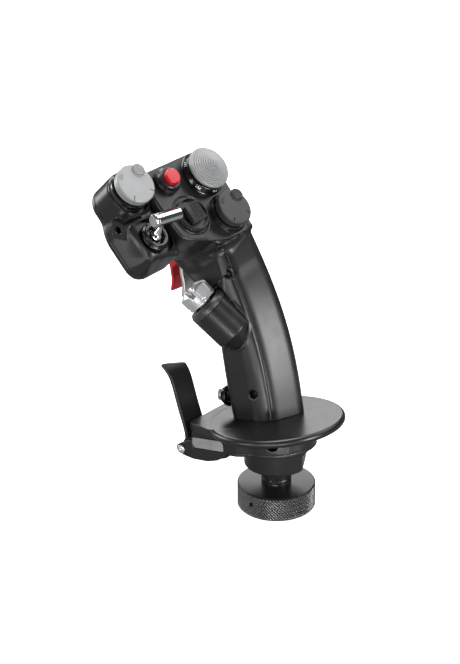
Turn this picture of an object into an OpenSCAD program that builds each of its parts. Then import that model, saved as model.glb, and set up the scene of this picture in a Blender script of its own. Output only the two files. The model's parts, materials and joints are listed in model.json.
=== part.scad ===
// Flight joystick: right-hand grip with a wide thumb-control head, front triggers, a side lever,
// a hand rest and a knurled lock ring that screws the grip onto a control base.
// Frame: origin at the centre of the lock ring's lower face, +Z up the neck, +Y forward, away from the
// pilot, +X to the pilot's right. Millimetres.

/* [Lock ring and neck] */
// Outside diameter of the knurled lock ring
ring_d = 48; // [47.5:0.5:50]
// Height of the lock ring
ring_h = 15.5; // [15.5:0.5:17]
// Minor diameter of the M36x2 thread in the ring's mouth
thread_d = 34; // [33.9:0.1:34.2]
// Depth of the threaded mouth
thread_depth = 9; // [8:0.5:9]
// Diameter of the neck tube
neck_d = 18.4; // [18:0.2:19]
// Diameter of the clamp collar on the neck
collar_d = 39.6; // [39:0.2:40]

/* [Grip posture] */
// Height of the hand rest's centre above the origin
rest_z = 58.5; // [57:0.5:60]
// Lean of the grip forward, in degrees
lean_forward = 8.2; // [6:0.2:10]
// Lean of the grip to the pilot's right, in degrees
lean_right = 2.4; // [0:0.2:4]

/* [Hand rest and bracket] */
// Diameter of the hand rest
rest_d = 83; // [82:0.5:86]
// Thickness of the hand rest's rim
rest_t = 5; // [4.5:0.5:5.5]
// How far the hand rest's squared nose reaches forward
nose_y = 47; // [46.5:0.5:47.5]
// Width of the nose at its front edge
nose_w = 52; // [51:0.5:54]
// Diameter of the round housing under the hand rest
housing_d = 46; // [45:0.5:47]

/* [Column] */
// Left side of the column, from its own centre plane outwards
col_left = 12; // [11.5:0.5:13]
// Right side of the column
col_right = 17; // [16:0.5:18]
// Wall thickness of the moulded shells
wall = 2; // [1.6:0.2:2.4]

/* [Head] */
// Tilt of the control face from horizontal, in the grip's frame, in degrees
face_tilt = 57.7; // [56:0.1:59]
// Droop of the face towards its left end, in degrees
face_droop = 6.9; // [5:0.1:8]
// Turn of the face towards the pilot's left, in degrees
face_turn = 5.4; // [4:0.1:7]
// Width of the centre block to the left of the trim hat
block_left = 43; // [42.5:0.5:43.5]
// Left end of the side pod, measured from the trim hat
pod_left = 71; // [70:0.5:72]
// How far the pod's face lies below the centre block's face
pod_step = 4.5; // [4:0.25:5]

/* [Controls] */
// Diameter of the ridged trim hat
trim_d = 26.6; // [26:0.2:27]
// Diameter of the grey castle hat
castle_d = 24.2; // [23.8:0.2:24.4]
// Diameter of the dark castle hat
dark_d = 22.4; // [22:0.2:22.8]
// Diameter of the crossbar lever
bar_d = 8; // [7.5:0.25:8.5]
// Length of the crossbar
bar_l = 20; // [19:0.5:21]

/* [Hidden] */
$fn = 64;
gap = 0.05;          // running clearance of a pin in its hole, on the radius
fit = 0.02;          // clearance between pieces that are fastened together
col_mid = 2.5;       // x of the plane where the two column shells meet at the front
screw_spots = [[7.2, 17.3], [17.8, 90.6]];
post_r = 3.6;
head_r = 2.6;        // screw head, shank and where they sit across the column
shank_r = 1.5;
head_x = -9.2;
head_t = 1.8;
shank_end = 12.5;
post_split = -3.5;   // where the left shell's screw posts meet the right shell's
head_pos = [2, 38, 147.6];
trim_at = [0, 0];
red_at = [-28, 4.3];
rib_at = [-25.7, -19.4];
dark_at = [-1, -28];
castle_at = [-53.1, 9.7];
tee_at = [-54.6, -20.3];
face_low = -42;      // lower end of the face, down the slope
face_high = 15;      // upper end of the face
slab = 14;           // depth of the rear head shell
front_depth = 27;    // depth of the centre block's front below its face
pin_y = 55;          // lever pin, forward and down from the hand rest's centre
pin_z = -18.4;
pod_front = -24;     // front of the pod
barrel_root = [-8.6, 19, 55.9];
barrel_turn = 33;    // the barrel points this far left of forward
barrel_rise = 50;    // and this far up, in degrees
trig_y = 51.8;       // trigger pin in the grip's frame
trig_z = 103.3;

black = [0.07, 0.07, 0.075];
dark = [0.16, 0.16, 0.17];
satin = [0.62, 0.63, 0.64];
steel = [0.75, 0.76, 0.77];
red = [0.75, 0.05, 0.08];

// ---- frames ------------------------------------------------------------------------------------

// Frame of the grip: origin at the hand rest's centre, leaning with the grip
module in_grip() {
    translate([0, 0, rest_z]) rotate([-lean_forward, lean_right, 0]) children();
}

// Frame of the control face: x to the right, y up the slope, z out of the face
module in_head() {
    in_grip() translate(head_pos) rotate([face_tilt, -face_droop, -face_turn]) children();
}

module on_face(at, level = 0) {
    in_head() translate([at[0], at[1], level]) children();
}

// Frame of the barrel: z along it, from the column to its hat
module in_barrel(along = 0) {
    in_grip() translate(barrel_root) rotate([0, 0, barrel_turn]) rotate([barrel_rise - 90, 0, 0])
        translate([0, 0, along]) children();
}

// ---- shared shapes -----------------------------------------------------------------------------

module tube(r_out, r_in, z0, z1) {
    difference() {
        translate([0, 0, z0]) cylinder(r = r_out, h = z1 - z0);
        translate([0, 0, z0 - 1]) cylinder(r = r_in, h = z1 - z0 + 2);
    }
}

module disc(r, z0, z1) {
    translate([0, 0, z0]) cylinder(r = r, h = z1 - z0);
}

// Cylinder along x between two x values
module rod_x(r, x0, x1) {
    translate([x0, 0, 0]) rotate([0, 90, 0]) cylinder(r = r, h = x1 - x0);
}

// Cylinder along y between two y values
module rod_y(r, y0, y1) {
    translate([0, y0, 0]) rotate([-90, 0, 0]) cylinder(r = r, h = y1 - y0);
}

function arc(c, r, a0, a1, n) = [for (i = [0 : n]) let (a = a0 + (a1 - a0) * i / n) c + r * [cos(a), sin(a)]];

// One pass of corner cutting on an open line of points, which keeps both ends
function cut(p) = [
    p[0],
    for (i = [0 : len(p) - 2]) each [0.75 * p[i] + 0.25 * p[i + 1], 0.25 * p[i] + 0.75 * p[i + 1]],
    p[len(p) - 1]
];

function unit(v) = v / norm(v);

// An open line moved sideways by t, to the left of its direction
function inset(p, t) = [
    for (i = [0 : len(p) - 1])
        let (d = unit(p[min(i + 1, len(p) - 1)] - p[max(i - 1, 0)])) p[i] + t * [-d[1], d[0]]
];

function reversed(p) = [for (i = [len(p) - 1 : -1 : 0]) p[i]];

// Closed solid through a list of rings with the same number of points; foot lists the faces of its first
// ring, and its last ring is closed in the same way
module loft(rings, foot = undef) {
    n = len(rings[0]);
    m = len(rings);
    points = [for (r = rings) each r];
    sides = [
        for (k = [0 : m - 2]) for (i = [0 : n - 1])
            let (j = (i + 1) % n, a = k * n, b = a + n) each [[a + i, b + i, b + j], [a + i, b + j, a + j]]
    ];
    first = is_undef(foot) ? [[for (i = [0 : n - 1]) i]] : foot;
    last = [for (f = first) [for (i = [len(f) - 1 : -1 : 0]) (m - 1) * n + f[i]]];
    polyhedron(points, concat(first, last, sides), convexity = 6);
}

// ---- lock ring and neck ------------------------------------------------------------------------

washer_t = 0.6;
washer_z = ring_h - 3.1;
flange_z = washer_z - 2.4;
bore_r = 6.4;        // cable bore through the neck

module lock_ring() {
    chamfer = 0.8;
    r = ring_d / 2;
    relief = thread_d / 2 + 0.6;
    color(dark) difference() {
        rotate_extrude() polygon([
            [thread_d / 2, 0], [r - chamfer, 0], [r, chamfer], [r, ring_h - chamfer], [r - chamfer, ring_h],
            [neck_d / 2 + gap, ring_h], [neck_d / 2 + gap, washer_z + washer_t],
            [relief, washer_z + washer_t], [relief, thread_depth], [thread_d / 2, thread_depth]
        ]);
        // blind hole for a hook spanner
        rotate([0, 0, -125]) translate([r - 2.5, 0, ring_h * 0.55]) rod_x(1.1, 0, 5);
    }
}

module ring_washer() {
    color(steel) tube(thread_d / 2 - 1, neck_d / 2 + gap, washer_z + gap, washer_z + washer_t - gap);
}

module neck_tube() {
    color(dark) difference() {
        union() {
            disc(neck_d / 2, flange_z, housing_floor);
            disc(thread_d / 2 - 0.8, flange_z, washer_z);
        }
        disc(bore_r, flange_z - 1, 50);
        // keyway down the left of the neck
        rotate([0, 0, -160]) translate([neck_d / 2 - 0.9, -1.5, washer_z + 4]) cube([4, 3, 20]);
    }
}

// Five places on a small circle, for the connector's pins
module round_the_connector() {
    for (i = [0 : 4]) rotate([0, 0, 72 * i]) translate([2.8, 0, 0]) children();
}

module connector_insert() {
    color(black) difference() {
        disc(bore_r - fit, flange_z + 0.5, flange_z + 9);
        disc(4.8, flange_z, flange_z + 4);
        round_the_connector() disc(0.45 + fit, flange_z, flange_z + 12);
    }
}

module connector_pins() {
    color([0.8, 0.65, 0.25]) round_the_connector() disc(0.45, flange_z + 1, flange_z + 10.5);
}

collar_low = 28.3;
housing_floor = 46;  // top of the neck and collar, inside the housing

module clamp_collar() {
    color(dark) difference() {
        tube(collar_d / 2, neck_d / 2 + fit, collar_low, housing_floor);
        // wrench flat
        rotate([0, 0, -64]) translate([17.2, -20, 20]) cube([10, 40, 18]);
    }
}

// ---- housing, hand rest, bracket ---------------------------------------------------------------

side_x = -nose_w / 2 - 0.5;
bracket_right = -9;
bracket_rear = 20;
housing_low = -18;
housing_top = -rest_t - fit;

// Plan of the housing: a round body with a squared front that carries the lever bracket
module housing_plan() {
    r = housing_d / 2;
    ear = [side_x, 13.2];
    tangent = atan2(ear[1], ear[0]) + acos(r / norm(ear));
    t = r * [cos(tangent), sin(tangent)];
    circle(r = r);
    polygon([ear, t, [0, 0], [-t[0], t[1]], [-ear[0], ear[1]], [-ear[0], 20], [side_x, 20]]);
}

module base_housing() {
    color(dark) difference() {
        in_grip() difference() {
            translate([0, 0, housing_low]) linear_extrude(housing_top - housing_low) housing_plan();
            // cross screw hole in the left side
            rotate([0, 0, 205]) translate([14, 0, -9.5]) rod_x(2.6, 0, 20);
        }
        disc(collar_d / 2 + fit, 20, housing_floor + fit);
        disc(bore_r, 40, 80);
        // seat for the lever bracket
        in_grip() translate([side_x - 1, bracket_rear, -40]) cube([bracket_right - side_x + 1 + fit, 10, 40]);
    }
}

module rest_plan(r) {
    circle(r = r);
    polygon([
        [-nose_w / 2, nose_y], [-32.6, 26], [-20, 0], [20, 0], [32.6, 26], [nose_w / 2, nose_y]
    ]);
}

module hand_rest() {
    r = rest_d / 2;
    color(black) in_grip() difference() {
        union() {
            // round plate with a full-radius rim
            rotate_extrude() polygon(concat(
                [[0, 0], [0, -rest_t]], arc([r - rest_t / 2, -rest_t / 2], rest_t / 2, -90, 90, 10)
            ));
            translate([0, 0, -rest_t]) linear_extrude(rest_t) rest_plan(r - rest_t);
        }
        translate([0, 0, -10]) cylinder(r = 7, h = 20);
    }
}

// Side view of the bracket, drawn as [forward, up] points
module side_slab(points, x0, x1) {
    translate([x0, 0, 0]) rotate([90, 0, 90]) linear_extrude(x1 - x0) polygon(points);
}

arm_points = concat(
    [
        [nose_y - 1, -rest_t - fit], [bracket_rear + fit, -rest_t - fit], [bracket_rear + fit, -16],
        [bracket_rear + 1.5, -20.2], [24, -20.6], [28, -22.4],
        [50, -22.8]
    ],
    arc([pin_y, pin_z], 3.6, -100, 60, 8),
    [[nose_y + 0.5, -11.8]]
);

module lever_bracket() {
    color(black) in_grip() difference() {
        side_slab(arm_points, side_x, bracket_right);
        // slot for the lever's knuckle
        translate([-24, 42, -30]) cube([12.5, 30, 50]);
        // shallow seat for the name plate
        translate([side_x - 1, 22.4, -16.1]) cube([1.6, 23.2, 6.8]);
        // pocket for the lever's switch
        translate([-22, 24, -15]) cube([10, 12, 8]);
        translate([0, pin_y, pin_z]) rod_x(1.5 + gap, -40, 10);
    }
}

module name_plate() {
    color([0.45, 0.46, 0.47]) in_grip()
        translate([side_x - 0.1, 22.4 + fit, -16.1 + fit]) cube([0.68, 23.2 - 2 * fit, 6.8 - 2 * fit]);
}

module lever_pin() {
    color(steel) in_grip() translate([0, pin_y, pin_z]) {
        rod_x(1.5, side_x - 0.6, -8.4);
        rod_x(2.2, side_x - 1.5, side_x - gap);
    }
}

module lever_spring() {
    // three close turns round the pin, between the knuckle and the bracket's inner cheek
    color(steel) in_grip() translate([0, pin_y, pin_z]) for (i = [0 : 2])
        translate([0.8 * i - 13.75, 0, 0]) rotate([0, 90, 0]) rotate_extrude() translate([2.3, 0])
            circle(r = 0.35);
}

module lever_switch() {
    color(black) in_grip() translate([-21.5, 24.5, -14.5]) cube([9, 11, 7]);
}

// Height to forward distance of the lever's strip, as it sweeps up from the pin
strip = [[48, -10.2], [48, -6], [49, 0], [50.7, 7], [52.3, 16], [53.9, 25], [56.2, 31], [61, 36.5]];
strip_line = cut(cut(strip));

module grip_lever() {
    body = concat(strip_line, reversed(inset(strip_line, -2.2)));
    color(black) in_grip() difference() {
        union() {
            side_slab(body, -28.2, -24.2);
            side_slab(body, -24.3, -9.8);
            translate([0, pin_y, pin_z]) rod_x(3, -23.8, -14.3);
            side_slab([
                [pin_y - 2, pin_z + 2.2], [pin_y + 2.4, pin_z + 1.8], [50.4, -8], [48.2, -8.5], [48.2, -10.5]
            ], -23.8, -14.3);
        }
        translate([0, pin_y, pin_z]) rod_x(1.5 + gap, -40, 10);
        // the strip's upper end is cut on a slant
        in_lever_tip() cube([40, 20, 20]);
    }
}

module in_lever_tip() {
    translate([-30, 50, 37]) rotate([0, 13, 0]) children();
}

// ---- column ------------------------------------------------------------------------------------

// Rear and front points of each section of the column, [forward, up], from the foot to the head
stations = [
    [[-11.5, 0.05], [22.4, 0.05]],
    [[-11, 14], [24, 15]],
    [[-9.3, 30], [25.1, 30]],
    [[-7.5, 44], [25.7, 43]],
    [[-4.6, 58], [26.6, 55]],
    [[0, 74], [29.5, 67]],
    [[4.3, 86], [34, 76]],
    [[9.5, 99], [41, 84.5]],
    [[14.8, 111.6], [46.8, 91.2]]
];

// Outline of a section, [to the right, ahead of the rear line], in two lines that run from the front
// seam to the seam on the left rear edge
seam = [-col_left + 1, 10.9];
function left_line(depth) = cut(cut([
    [col_mid, depth + 5.5], [-col_left + 5.5, depth + 5.5], [-col_left, depth - 1.5], [-col_left, 16],
    [-col_left, 12.1], seam
]));
function right_line(depth) = cut(cut([
    [col_mid, depth + 5.5], [col_right - 5.5, depth + 5.5], [col_right, depth - 3], [col_right, 9],
    [14.5, 1.5], [10, 0], [0, 4.6], [-7, 7.9], seam + [0.8, -0.96], seam
]));

// An outline set into the grip, on the line from its section's rear point to its front point
function placed(line, s) =
    let (d = unit(s[1] - s[0])) [for (p = line) [p[0], s[0][0] + d[0] * p[1], s[0][1] + d[1] * p[1]]];

// Faces that close the end of a shell: its wall's two sides hold n points each
function shell_end(n) = [for (i = [0 : n - 2]) [i, i + 1, 2 * n - 2 - i, 2 * n - 1 - i]];

// Steps that clear the column's slanted front: [in from its left face, ahead of its front line]
clear_steps = [[-0.1, 1.1], [1.9, 3.5], [3.8, 5.7]];

// Room for the column in a part that is fastened against its left face
module column_clearance() {
    for (c = clear_steps) side_slab(concat(
        [for (s = stations) s[1] + unit(s[1] - s[0]) * c[1]], [[-30, 115], [-30, 0]]
    ), -col_left + c[0], col_right + 3);
}

module column_left_wall() {
    loft([for (s = stations) let (line = left_line(norm(s[1] - s[0])))
        placed(concat(line, reversed(inset(line, wall))), s)
    ], shell_end(len(left_line(30))));
}

module column_right_wall() {
    translate([fit, -fit, 0]) loft([for (s = stations) let (line = right_line(norm(s[1] - s[0])))
        placed(concat(inset(line, -wall), reversed(line)), s)
    ], shell_end(len(right_line(30))));
}

// Screw posts run across the column; a counterbored hole in the left face takes each screw's head
module at_screws() {
    for (p = screw_spots) translate([0, p[0], p[1]]) children();
}

module column_left_shell() {
    color(black) difference() {
        in_grip() difference() {
            union() {
                column_left_wall();
                at_screws() rod_x(post_r, -col_left + 0.5, post_split);
            }
            at_screws() {
                rod_x(head_r + fit, -col_left - 1, head_x + head_t);
                rod_x(shank_r + fit, -col_left, col_mid);
            }
        }
        barrel_pocket();
        // room for the barrel's ring and the hat's tilt
        in_barrel(barrel_len) {
            disc(13, 0, 14);
            disc(11.6, 13, 21);
        }
    }
}

module column_right_shell() {
    color(black) in_grip() difference() {
        union() {
            difference() {
                column_right_wall();
                at_screws() rod_x(post_r + fit, -col_left - 1, post_split + fit);
            }
            at_screws() rod_x(post_r, post_split + fit, col_right - 1);
        }
        at_screws() rod_x(shank_r + fit, -col_left, shank_end + fit);
    }
}

module grip_screws() {
    color(steel) in_grip() at_screws() difference() {
        union() {
            rod_x(shank_r, head_x, shank_end);
            rod_x(head_r, head_x, head_x + head_t - fit);
        }
        rod_x(1.2, head_x - 1, head_x + 1, $fn = 6);
    }
}

module circuit_board() {
    color([0.05, 0.3, 0.15]) in_grip() translate([-3, 8, 21.5]) difference() {
        rotate([-6, 0, 0]) cube([1.6, 10, 24]);
        translate([-1, 5, 12]) rod_x(1.1, 0, 5);
    }
}

module wire_loom() {
    color(black) {
        disc(3.2, flange_z + 11, 52.9);
        in_grip() translate([1.2, 0.8, 0]) disc(3.2, -4.6, 13);
    }
}

// ---- side button -------------------------------------------------------------------------------

module at_side_button() {
    in_grip() translate([-4, 0, 12]) children();
}

module side_button_bezel() {
    color(black) at_side_button() difference() {
        union() {
            rod_y(6.8, 30, 31.3);
            rod_y(5.6, 31.2, 33.4);
        }
        rod_y(4 + gap, 30.4, 40);
    }
}

module side_button() {
    color(steel) at_side_button() difference() {
        rod_y(4, 32.2, 37.4);
        for (k = [0 : 1]) rotate([0, 45 + 90 * k, 0]) translate([-5, 36.9, -0.2]) cube([10, 1, 0.4]);
    }
}

module side_button_switch() {
    color(black) in_grip() translate([-7, 18.5, 9]) cube([6, 6, 6]);
}

// ---- hats --------------------------------------------------------------------------------------

// Every hat works the same way: a switch body holds a pivot ball on a pin along x, and the hat's fork
// straddles the ball on a second pin along y. pivot_z is the ball's depth below the hat's face.
pivot_z = -3;
ball_r = 2.4;
trunnion_r = 0.8;
trunnion_l = 6.6;
switch_r = 7.4;

module hat_switch(low = -12) {
    difference() {
        disc(switch_r, low, -1);
        disc(5.4, -7, 0);
        translate([0, 0, pivot_z]) rod_x(trunnion_r + gap, -trunnion_l - 0.2, trunnion_l + 0.2);
    }
}

module hat_pivot() {
    translate([0, 0, pivot_z]) difference() {
        union() {
            sphere(r = ball_r);
            rod_x(trunnion_r, -trunnion_l, trunnion_l);
        }
        rod_y(0.7 + gap, -5, 5);
    }
}

// Fork, pin and post that carry a hat; the post ends at z = top
module hat_fork(top) {
    fork_legs();
    difference() {
        disc(4.3, -0.3, top);
        translate([0, 0, pivot_z]) sphere(r = ball_r + 0.25);
    }
}

module fork_legs() {
    for (side = [-1, 1]) translate([-1.4, side * 3.1 - 0.55, pivot_z - 1.3]) cube([2.8, 1.1, 4.2]);
    translate([0, 0, pivot_z]) rod_y(0.7, -3.6, 3.6);
}

// Castle hat: a shallow cap with one raised tab and three notches on its diagonals
module castle_cap(d, low, high) {
    r = d / 2;
    difference() {
        union() {
            disc(r, low, high - 0.8);
            translate([0, 0, high - 0.8]) cylinder(r1 = r, r2 = r - 0.6, h = 0.8);
            intersection() {
                rotate([0, 0, 45]) translate([r - 4.2, -3.4, high - 1]) cube([6, 6.8, 2.4]);
                disc(r + 0.5, high - 1, high + 1.4);
            }
        }
        for (k = [1 : 3]) rotate([0, 0, 45 + 90 * k]) translate([r - 2.6, -0.35, high - 0.7])
            cube([4, 0.7, 2]);
        // hollow under the skirt
        tube(r - 1.4, 4.6, low - 1, high - 2);
    }
}

module face_ring(r_out, r_in, height) {
    difference() {
        union() {
            disc(r_out, fit, height * 0.45);
            disc(r_out - 0.9, height * 0.4, height);
        }
        disc(r_in, -1, height + 1);
    }
}

module trim_ring() { color(black) on_face(trim_at) face_ring(14.5, 8, 4.6); }
module trim_switch() { color(black) on_face(trim_at) hat_switch(); }
module trim_pivot() { color(steel) on_face(trim_at) hat_pivot(); }
module trim_hat() {
    r = trim_d / 2;
    base = 6.2;      // underside of the cap
    color(satin) on_face(trim_at) {
        hat_fork(base);
        rotate_extrude() polygon([
            [0, base], [r - 0.8, base], [r, base + 0.8], [r, base + 2], [r - 0.6, base + 2.6], [0.9, base + 9],
            [0, base + 9.2]
        ]);
    }
}

module dark_hat_ring() { color(black) on_face(dark_at) face_ring(12.6, 8, 3); }
module dark_hat_switch() { color(black) on_face(dark_at) hat_switch(); }
module dark_hat_pivot() { color(steel) on_face(dark_at) hat_pivot(); }
module dark_hat() {
    color(dark) on_face(dark_at) {
        hat_fork(5);
        castle_cap(dark_d, 4.4, 9.2);
    }
}

module castle_ring() { color(black) on_face(castle_at, -pod_step) face_ring(12.3, 8, 4); }
module castle_switch() { color(black) on_face(castle_at, -pod_step) hat_switch(); }
module castle_pivot() { color(steel) on_face(castle_at, -pod_step) hat_pivot(); }
module castle_hat() {
    color(satin) on_face(castle_at, -pod_step) {
        hat_fork(6.4);
        castle_cap(castle_d, 5.8, 10.6);
    }
}

// Lever with a polished crossbar: same pivot, a longer post and a wide round socket
module tee_socket() {
    color(black) on_face(tee_at, -pod_step) difference() {
        union() {
            disc(8.6, fit, 1.6);
            disc(7, 1.5, 2.8);
        }
        disc(5.3, -1, 4);
    }
}
module tee_switch() { color(black) on_face(tee_at, -pod_step) hat_switch(); }
module tee_pivot() { color(steel) on_face(tee_at, -pod_step) hat_pivot(); }
module tee_lever() {
    bar_at = [2.5, 4.3, 14.5];
    color(steel) on_face(tee_at, -pod_step) {
        fork_legs();
        difference() {
            disc(3.7, -0.3, 2.2);
            translate([0, 0, pivot_z]) sphere(r = ball_r + 0.25);
        }
        // the stem leans up the face to the crossbar
        rotate([0, 0, atan2(bar_at[1], bar_at[0])]) rotate([0, acos(bar_at[2] / norm(bar_at)), 0])
            disc(1.9, 0.9, norm(bar_at) - 2);
        translate(bar_at) rotate([0, 0, -6.5]) {
            rod_x(bar_d / 2, -bar_l / 2 + 0.6, bar_l / 2 - 0.6);
            rod_x(bar_d / 2 - 0.5, -bar_l / 2, bar_l / 2);
        }
    }
}

// Hat at the barrel's end
barrel_len = 19;

module hat_barrel() {
    color(black) difference() {
        in_barrel() disc(12.6, -18, barrel_len);
        in_grip() column_clearance();
        barrel_pocket();
    }
}

// Pocket for the barrel hat's switch, sunk through the barrel into the column's wall
module barrel_pocket() {
    in_barrel(barrel_len + 4.5) disc(switch_r + fit, -12 - fit, 5);
}

module barrel_ring() {
    color(dark) in_barrel(barrel_len) difference() {
        union() {
            disc(12.6, fit, 3);
            translate([0, 0, 3]) cylinder(r1 = 12.6, r2 = 11.4, h = 1.6);
        }
        disc(switch_r + 0.4, -1, 6);
    }
}
module barrel_hat_switch() { color(black) in_barrel(barrel_len + 4.5) hat_switch(-11.5); }
module barrel_hat_pivot() { color(steel) in_barrel(barrel_len + 4.5) hat_pivot(); }
module barrel_hat() {
    color(steel) in_barrel(barrel_len + 4.5) {
        hat_fork(2);
        castle_cap(19.4, 1.5, 12.5);
    }
}

// ---- thumb slide and red button ----------------------------------------------------------------

slide_throw = 2.5;   // the slide's travel to each side

module thumb_slide_ring() {
    color(black) on_face(rib_at) difference() {
        union() {
            disc(10.8, fit, 1.6);
            disc(10.2, 1.5, 2.6);
        }
        disc(9.3, 0.6, 5);
        translate([-3 - slide_throw - 0.2, -2.5 - gap, -1]) cube([6 + 2 * slide_throw + 0.4, 5 + 2 * gap, 5]);
    }
}
module thumb_slide_switch() { color(black) on_face(rib_at) translate([-6.5, -4, -8]) cube([13, 8, 3.9]); }
module thumb_slide() {
    color(dark) on_face(rib_at) difference() {
        union() {
            translate([-3, -2.5, -3.6]) cube([6, 5, 5.2]);
            translate([-4.2, -5.5, 0.8]) cube([8.4, 11, 2.2]);
            translate([0, 5.5, 2.9]) rotate([90, 0, 0]) linear_extrude(11)
                polygon([[-4.2, 0], [4.2, 0], [4.2, 2], [1.5, 3.8], [-1.5, 3.8], [-4.2, 2]]);
        }
        for (k = [-2 : 2]) translate([1.6 * k - 0.3, -7, 5.4 - abs(k) * 0.6]) cube([0.6, 14, 3]);
    }
}

module red_button_bezel() {
    color(black) on_face(red_at) difference() {
        union() {
            disc(8, fit, 3);
            disc(6.8, 2.9, 5.6);
        }
        disc(4.9 + gap, 2, 8);
        disc(2, -1, 3);
    }
}
module red_button_switch() { color(black) on_face(red_at) translate([-3.2, -3.2, -7]) cube([6.4, 6.4, 4]); }
module red_button() {
    color(red) on_face(red_at) {
        disc(4.9, 4.2, 7.9);
        translate([0, 0, 7.9]) cylinder(r1 = 4.9, r2 = 4.4, h = 0.6);
        disc(1.9, -0.2, 4.3);
    }
}

// ---- head shells -------------------------------------------------------------------------------

// Outline of the centre block in the face's plane
module block_plan() {
    polygon([
        [-block_left + 3, face_high], [12, face_high], [15, face_high - 3], [15, face_low + 3],
        [12, face_low], [-13, face_low], [-26.7, -37], [-36, -33.5], [-41, -29], [-block_left, -22],
        [-block_left, face_high - 3]
    ]);
}

module block_inner() {
    polygon([
        [-block_left + wall, face_high - wall], [15 - wall, face_high - wall],
        [15 - wall, face_low + 2 + wall],
        [-11, face_low + 2 + wall], [-27, -37 + wall + 1], [-39, -29], [-block_left + wall, -22]
    ]);
}

// Hood of the front shell over the triggers, in the grip's frame, as [forward, up] points
hood = [[15.8, 112.8], [47.4, 92.5], [60, 100], [65, 105], [67, 136], [62, 142], [38, 118]];
hood_inner = [[24, 112], [47.6, 96.5], [58, 102], [62.5, 106.5], [64.5, 134], [60, 138], [39, 115]];

module castle_scallop() {
    translate([castle_at[0], castle_at[1], -30]) cylinder(r = 13.2, h = 40);
}

module head_rear_shell() {
    color(black) in_head() difference() {
        translate([0, 0, -slab]) linear_extrude(slab) block_plan();
        translate([0, 0, -slab - 1]) linear_extrude(slab + 1 - wall) block_inner();
        for (p = [trim_at, dark_at]) translate([p[0], p[1], 0]) disc(switch_r + fit, -5, 1);
        translate([rib_at[0] - 6, rib_at[1] - 3, -5]) cube([12, 6, 10]);
        translate([red_at[0], red_at[1], 0]) disc(2.2, -5, 1);
        castle_scallop();
        for (p = face_screws) translate([p[0], p[1], -20]) cylinder(r = 1.6, h = 22);
    }
}

face_screws = [[-36, 9], [10, -12]];

module head_front_shell() {
    color(black) difference() {
        union() {
            in_head() translate([0, 0, -front_depth]) linear_extrude(front_depth - slab - fit) block_plan();
            in_grip() side_slab(hood, -col_left, col_right - 1);
        }
        in_head() {
            translate([-100, -100, -slab - fit]) cube([200, 200, 60]);
            translate([0, 0, wall - front_depth]) linear_extrude(20) block_inner();
            castle_scallop();
        }
        in_grip() side_slab(hood_inner, wall - col_left, col_right - 1 - wall);
        trigger_well();
    }
}

// Slot for the triggers, open below, and the seat of their frame
module trigger_well() {
    at_trigger() {
        translate([-7.4, -12, -40]) cube([14.8, 30, 44]);
        translate([-9 - fit, -9 - fit, -12]) cube([18 + 2 * fit, 14, 24 + fit]);
    }
}

// Outline of the pod in the face's plane
pod_right = -block_left - 0.1;
module pod_plan(inside = 0) {
    polygon(concat(
        [[pod_right - inside, -35 + inside], [pod_right - inside, 17 - inside]],
        arc([-58, 4], 13 - inside, 90, 180, 6),
        arc([-63, -28], 8 - inside, 180, 270, 5)
    ));
}

module pod_rear_shell() {
    color(black) in_head() difference() {
        translate([0, 0, -20]) linear_extrude(20 - pod_step) pod_plan();
        translate([0, 0, -21]) linear_extrude(21 - pod_step - wall) pod_plan(wall);
        for (p = [castle_at, tee_at]) translate([p[0], p[1], 0]) disc(switch_r + fit, -20, 1);
    }
}

module pod_front_shell() {
    color(black) in_head() difference() {
        translate([0, 0, pod_front]) linear_extrude(-20 - pod_front - fit) pod_plan();
        translate([0, 0, pod_front + wall]) linear_extrude(20) pod_plan(wall);
    }
}

// ---- triggers ----------------------------------------------------------------------------------

module at_trigger() {
    in_grip() translate([1, trig_y, trig_z]) children();
}

// Blade outline as [forward, up] points from the trigger pin
function blade(reach, drop, thick, bow) = let (
    line = cut(cut([[reach * 0.2, -2], [reach * 0.75, -6], [reach, -drop * 0.45], [reach - bow, -drop * 0.75],
        [reach + 0.6, -drop]]))
) concat(line, reversed(inset(line, -thick)));

module main_trigger() {
    color(steel) at_trigger() difference() {
        union() {
            rod_x(3, -5, 5);
            side_slab(blade(8, 31, 3, 1.5), -5, 5);
        }
        rod_x(1.5 + gap, -10, 10);
    }
}

// Side cheek and blade line of the second trigger, as [forward, up] points from the trigger pin
cheek = [[-2.6, -1.5], [-1.5, 2.6], [2.6, 1.8], [13, -6], [13, -12], [10.5, -12]];
red_line = cut(cut([[11.6, -7], [13.2, -13], [12.4, -20], [14.6, -26.5]]));

// The second trigger hangs in front of the first on the same pin, from two side cheeks
module second_trigger() {
    color(red) at_trigger() difference() {
        union() {
            for (x = [-6.9, 5.3]) side_slab(cheek, x, x + 1.6);
            side_slab(concat(red_line, reversed(inset(red_line, -1.8))), -6.9, 6.9);
        }
        rod_x(1.5 + gap, -10, 10);
    }
}
module trigger_pin() {
    color(steel) at_trigger() rod_x(1.5, -8.9, 8.9);
}

// Frame screwed inside the hood; its two cheeks hold the trigger pin
module trigger_frame() {
    color(dark) at_trigger() difference() {
        union() {
            for (x = [-9, 7]) side_slab([[-9, -3.5], [-9, 12], [3, 4.4], [4.4, 0], [3, -3.6]], x, x + 2);
            side_slab([[-9, 5], [-9, 12], [-5, 9.6], [-5, 5]], -8, 8);
        }
        rod_x(1.5 + fit, -10, 10);
    }
}

module trigger_switch() {
    color(black) at_trigger() translate([-3, -8.9, -2.4]) cube([6, 4.5, 6]);
}

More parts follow.
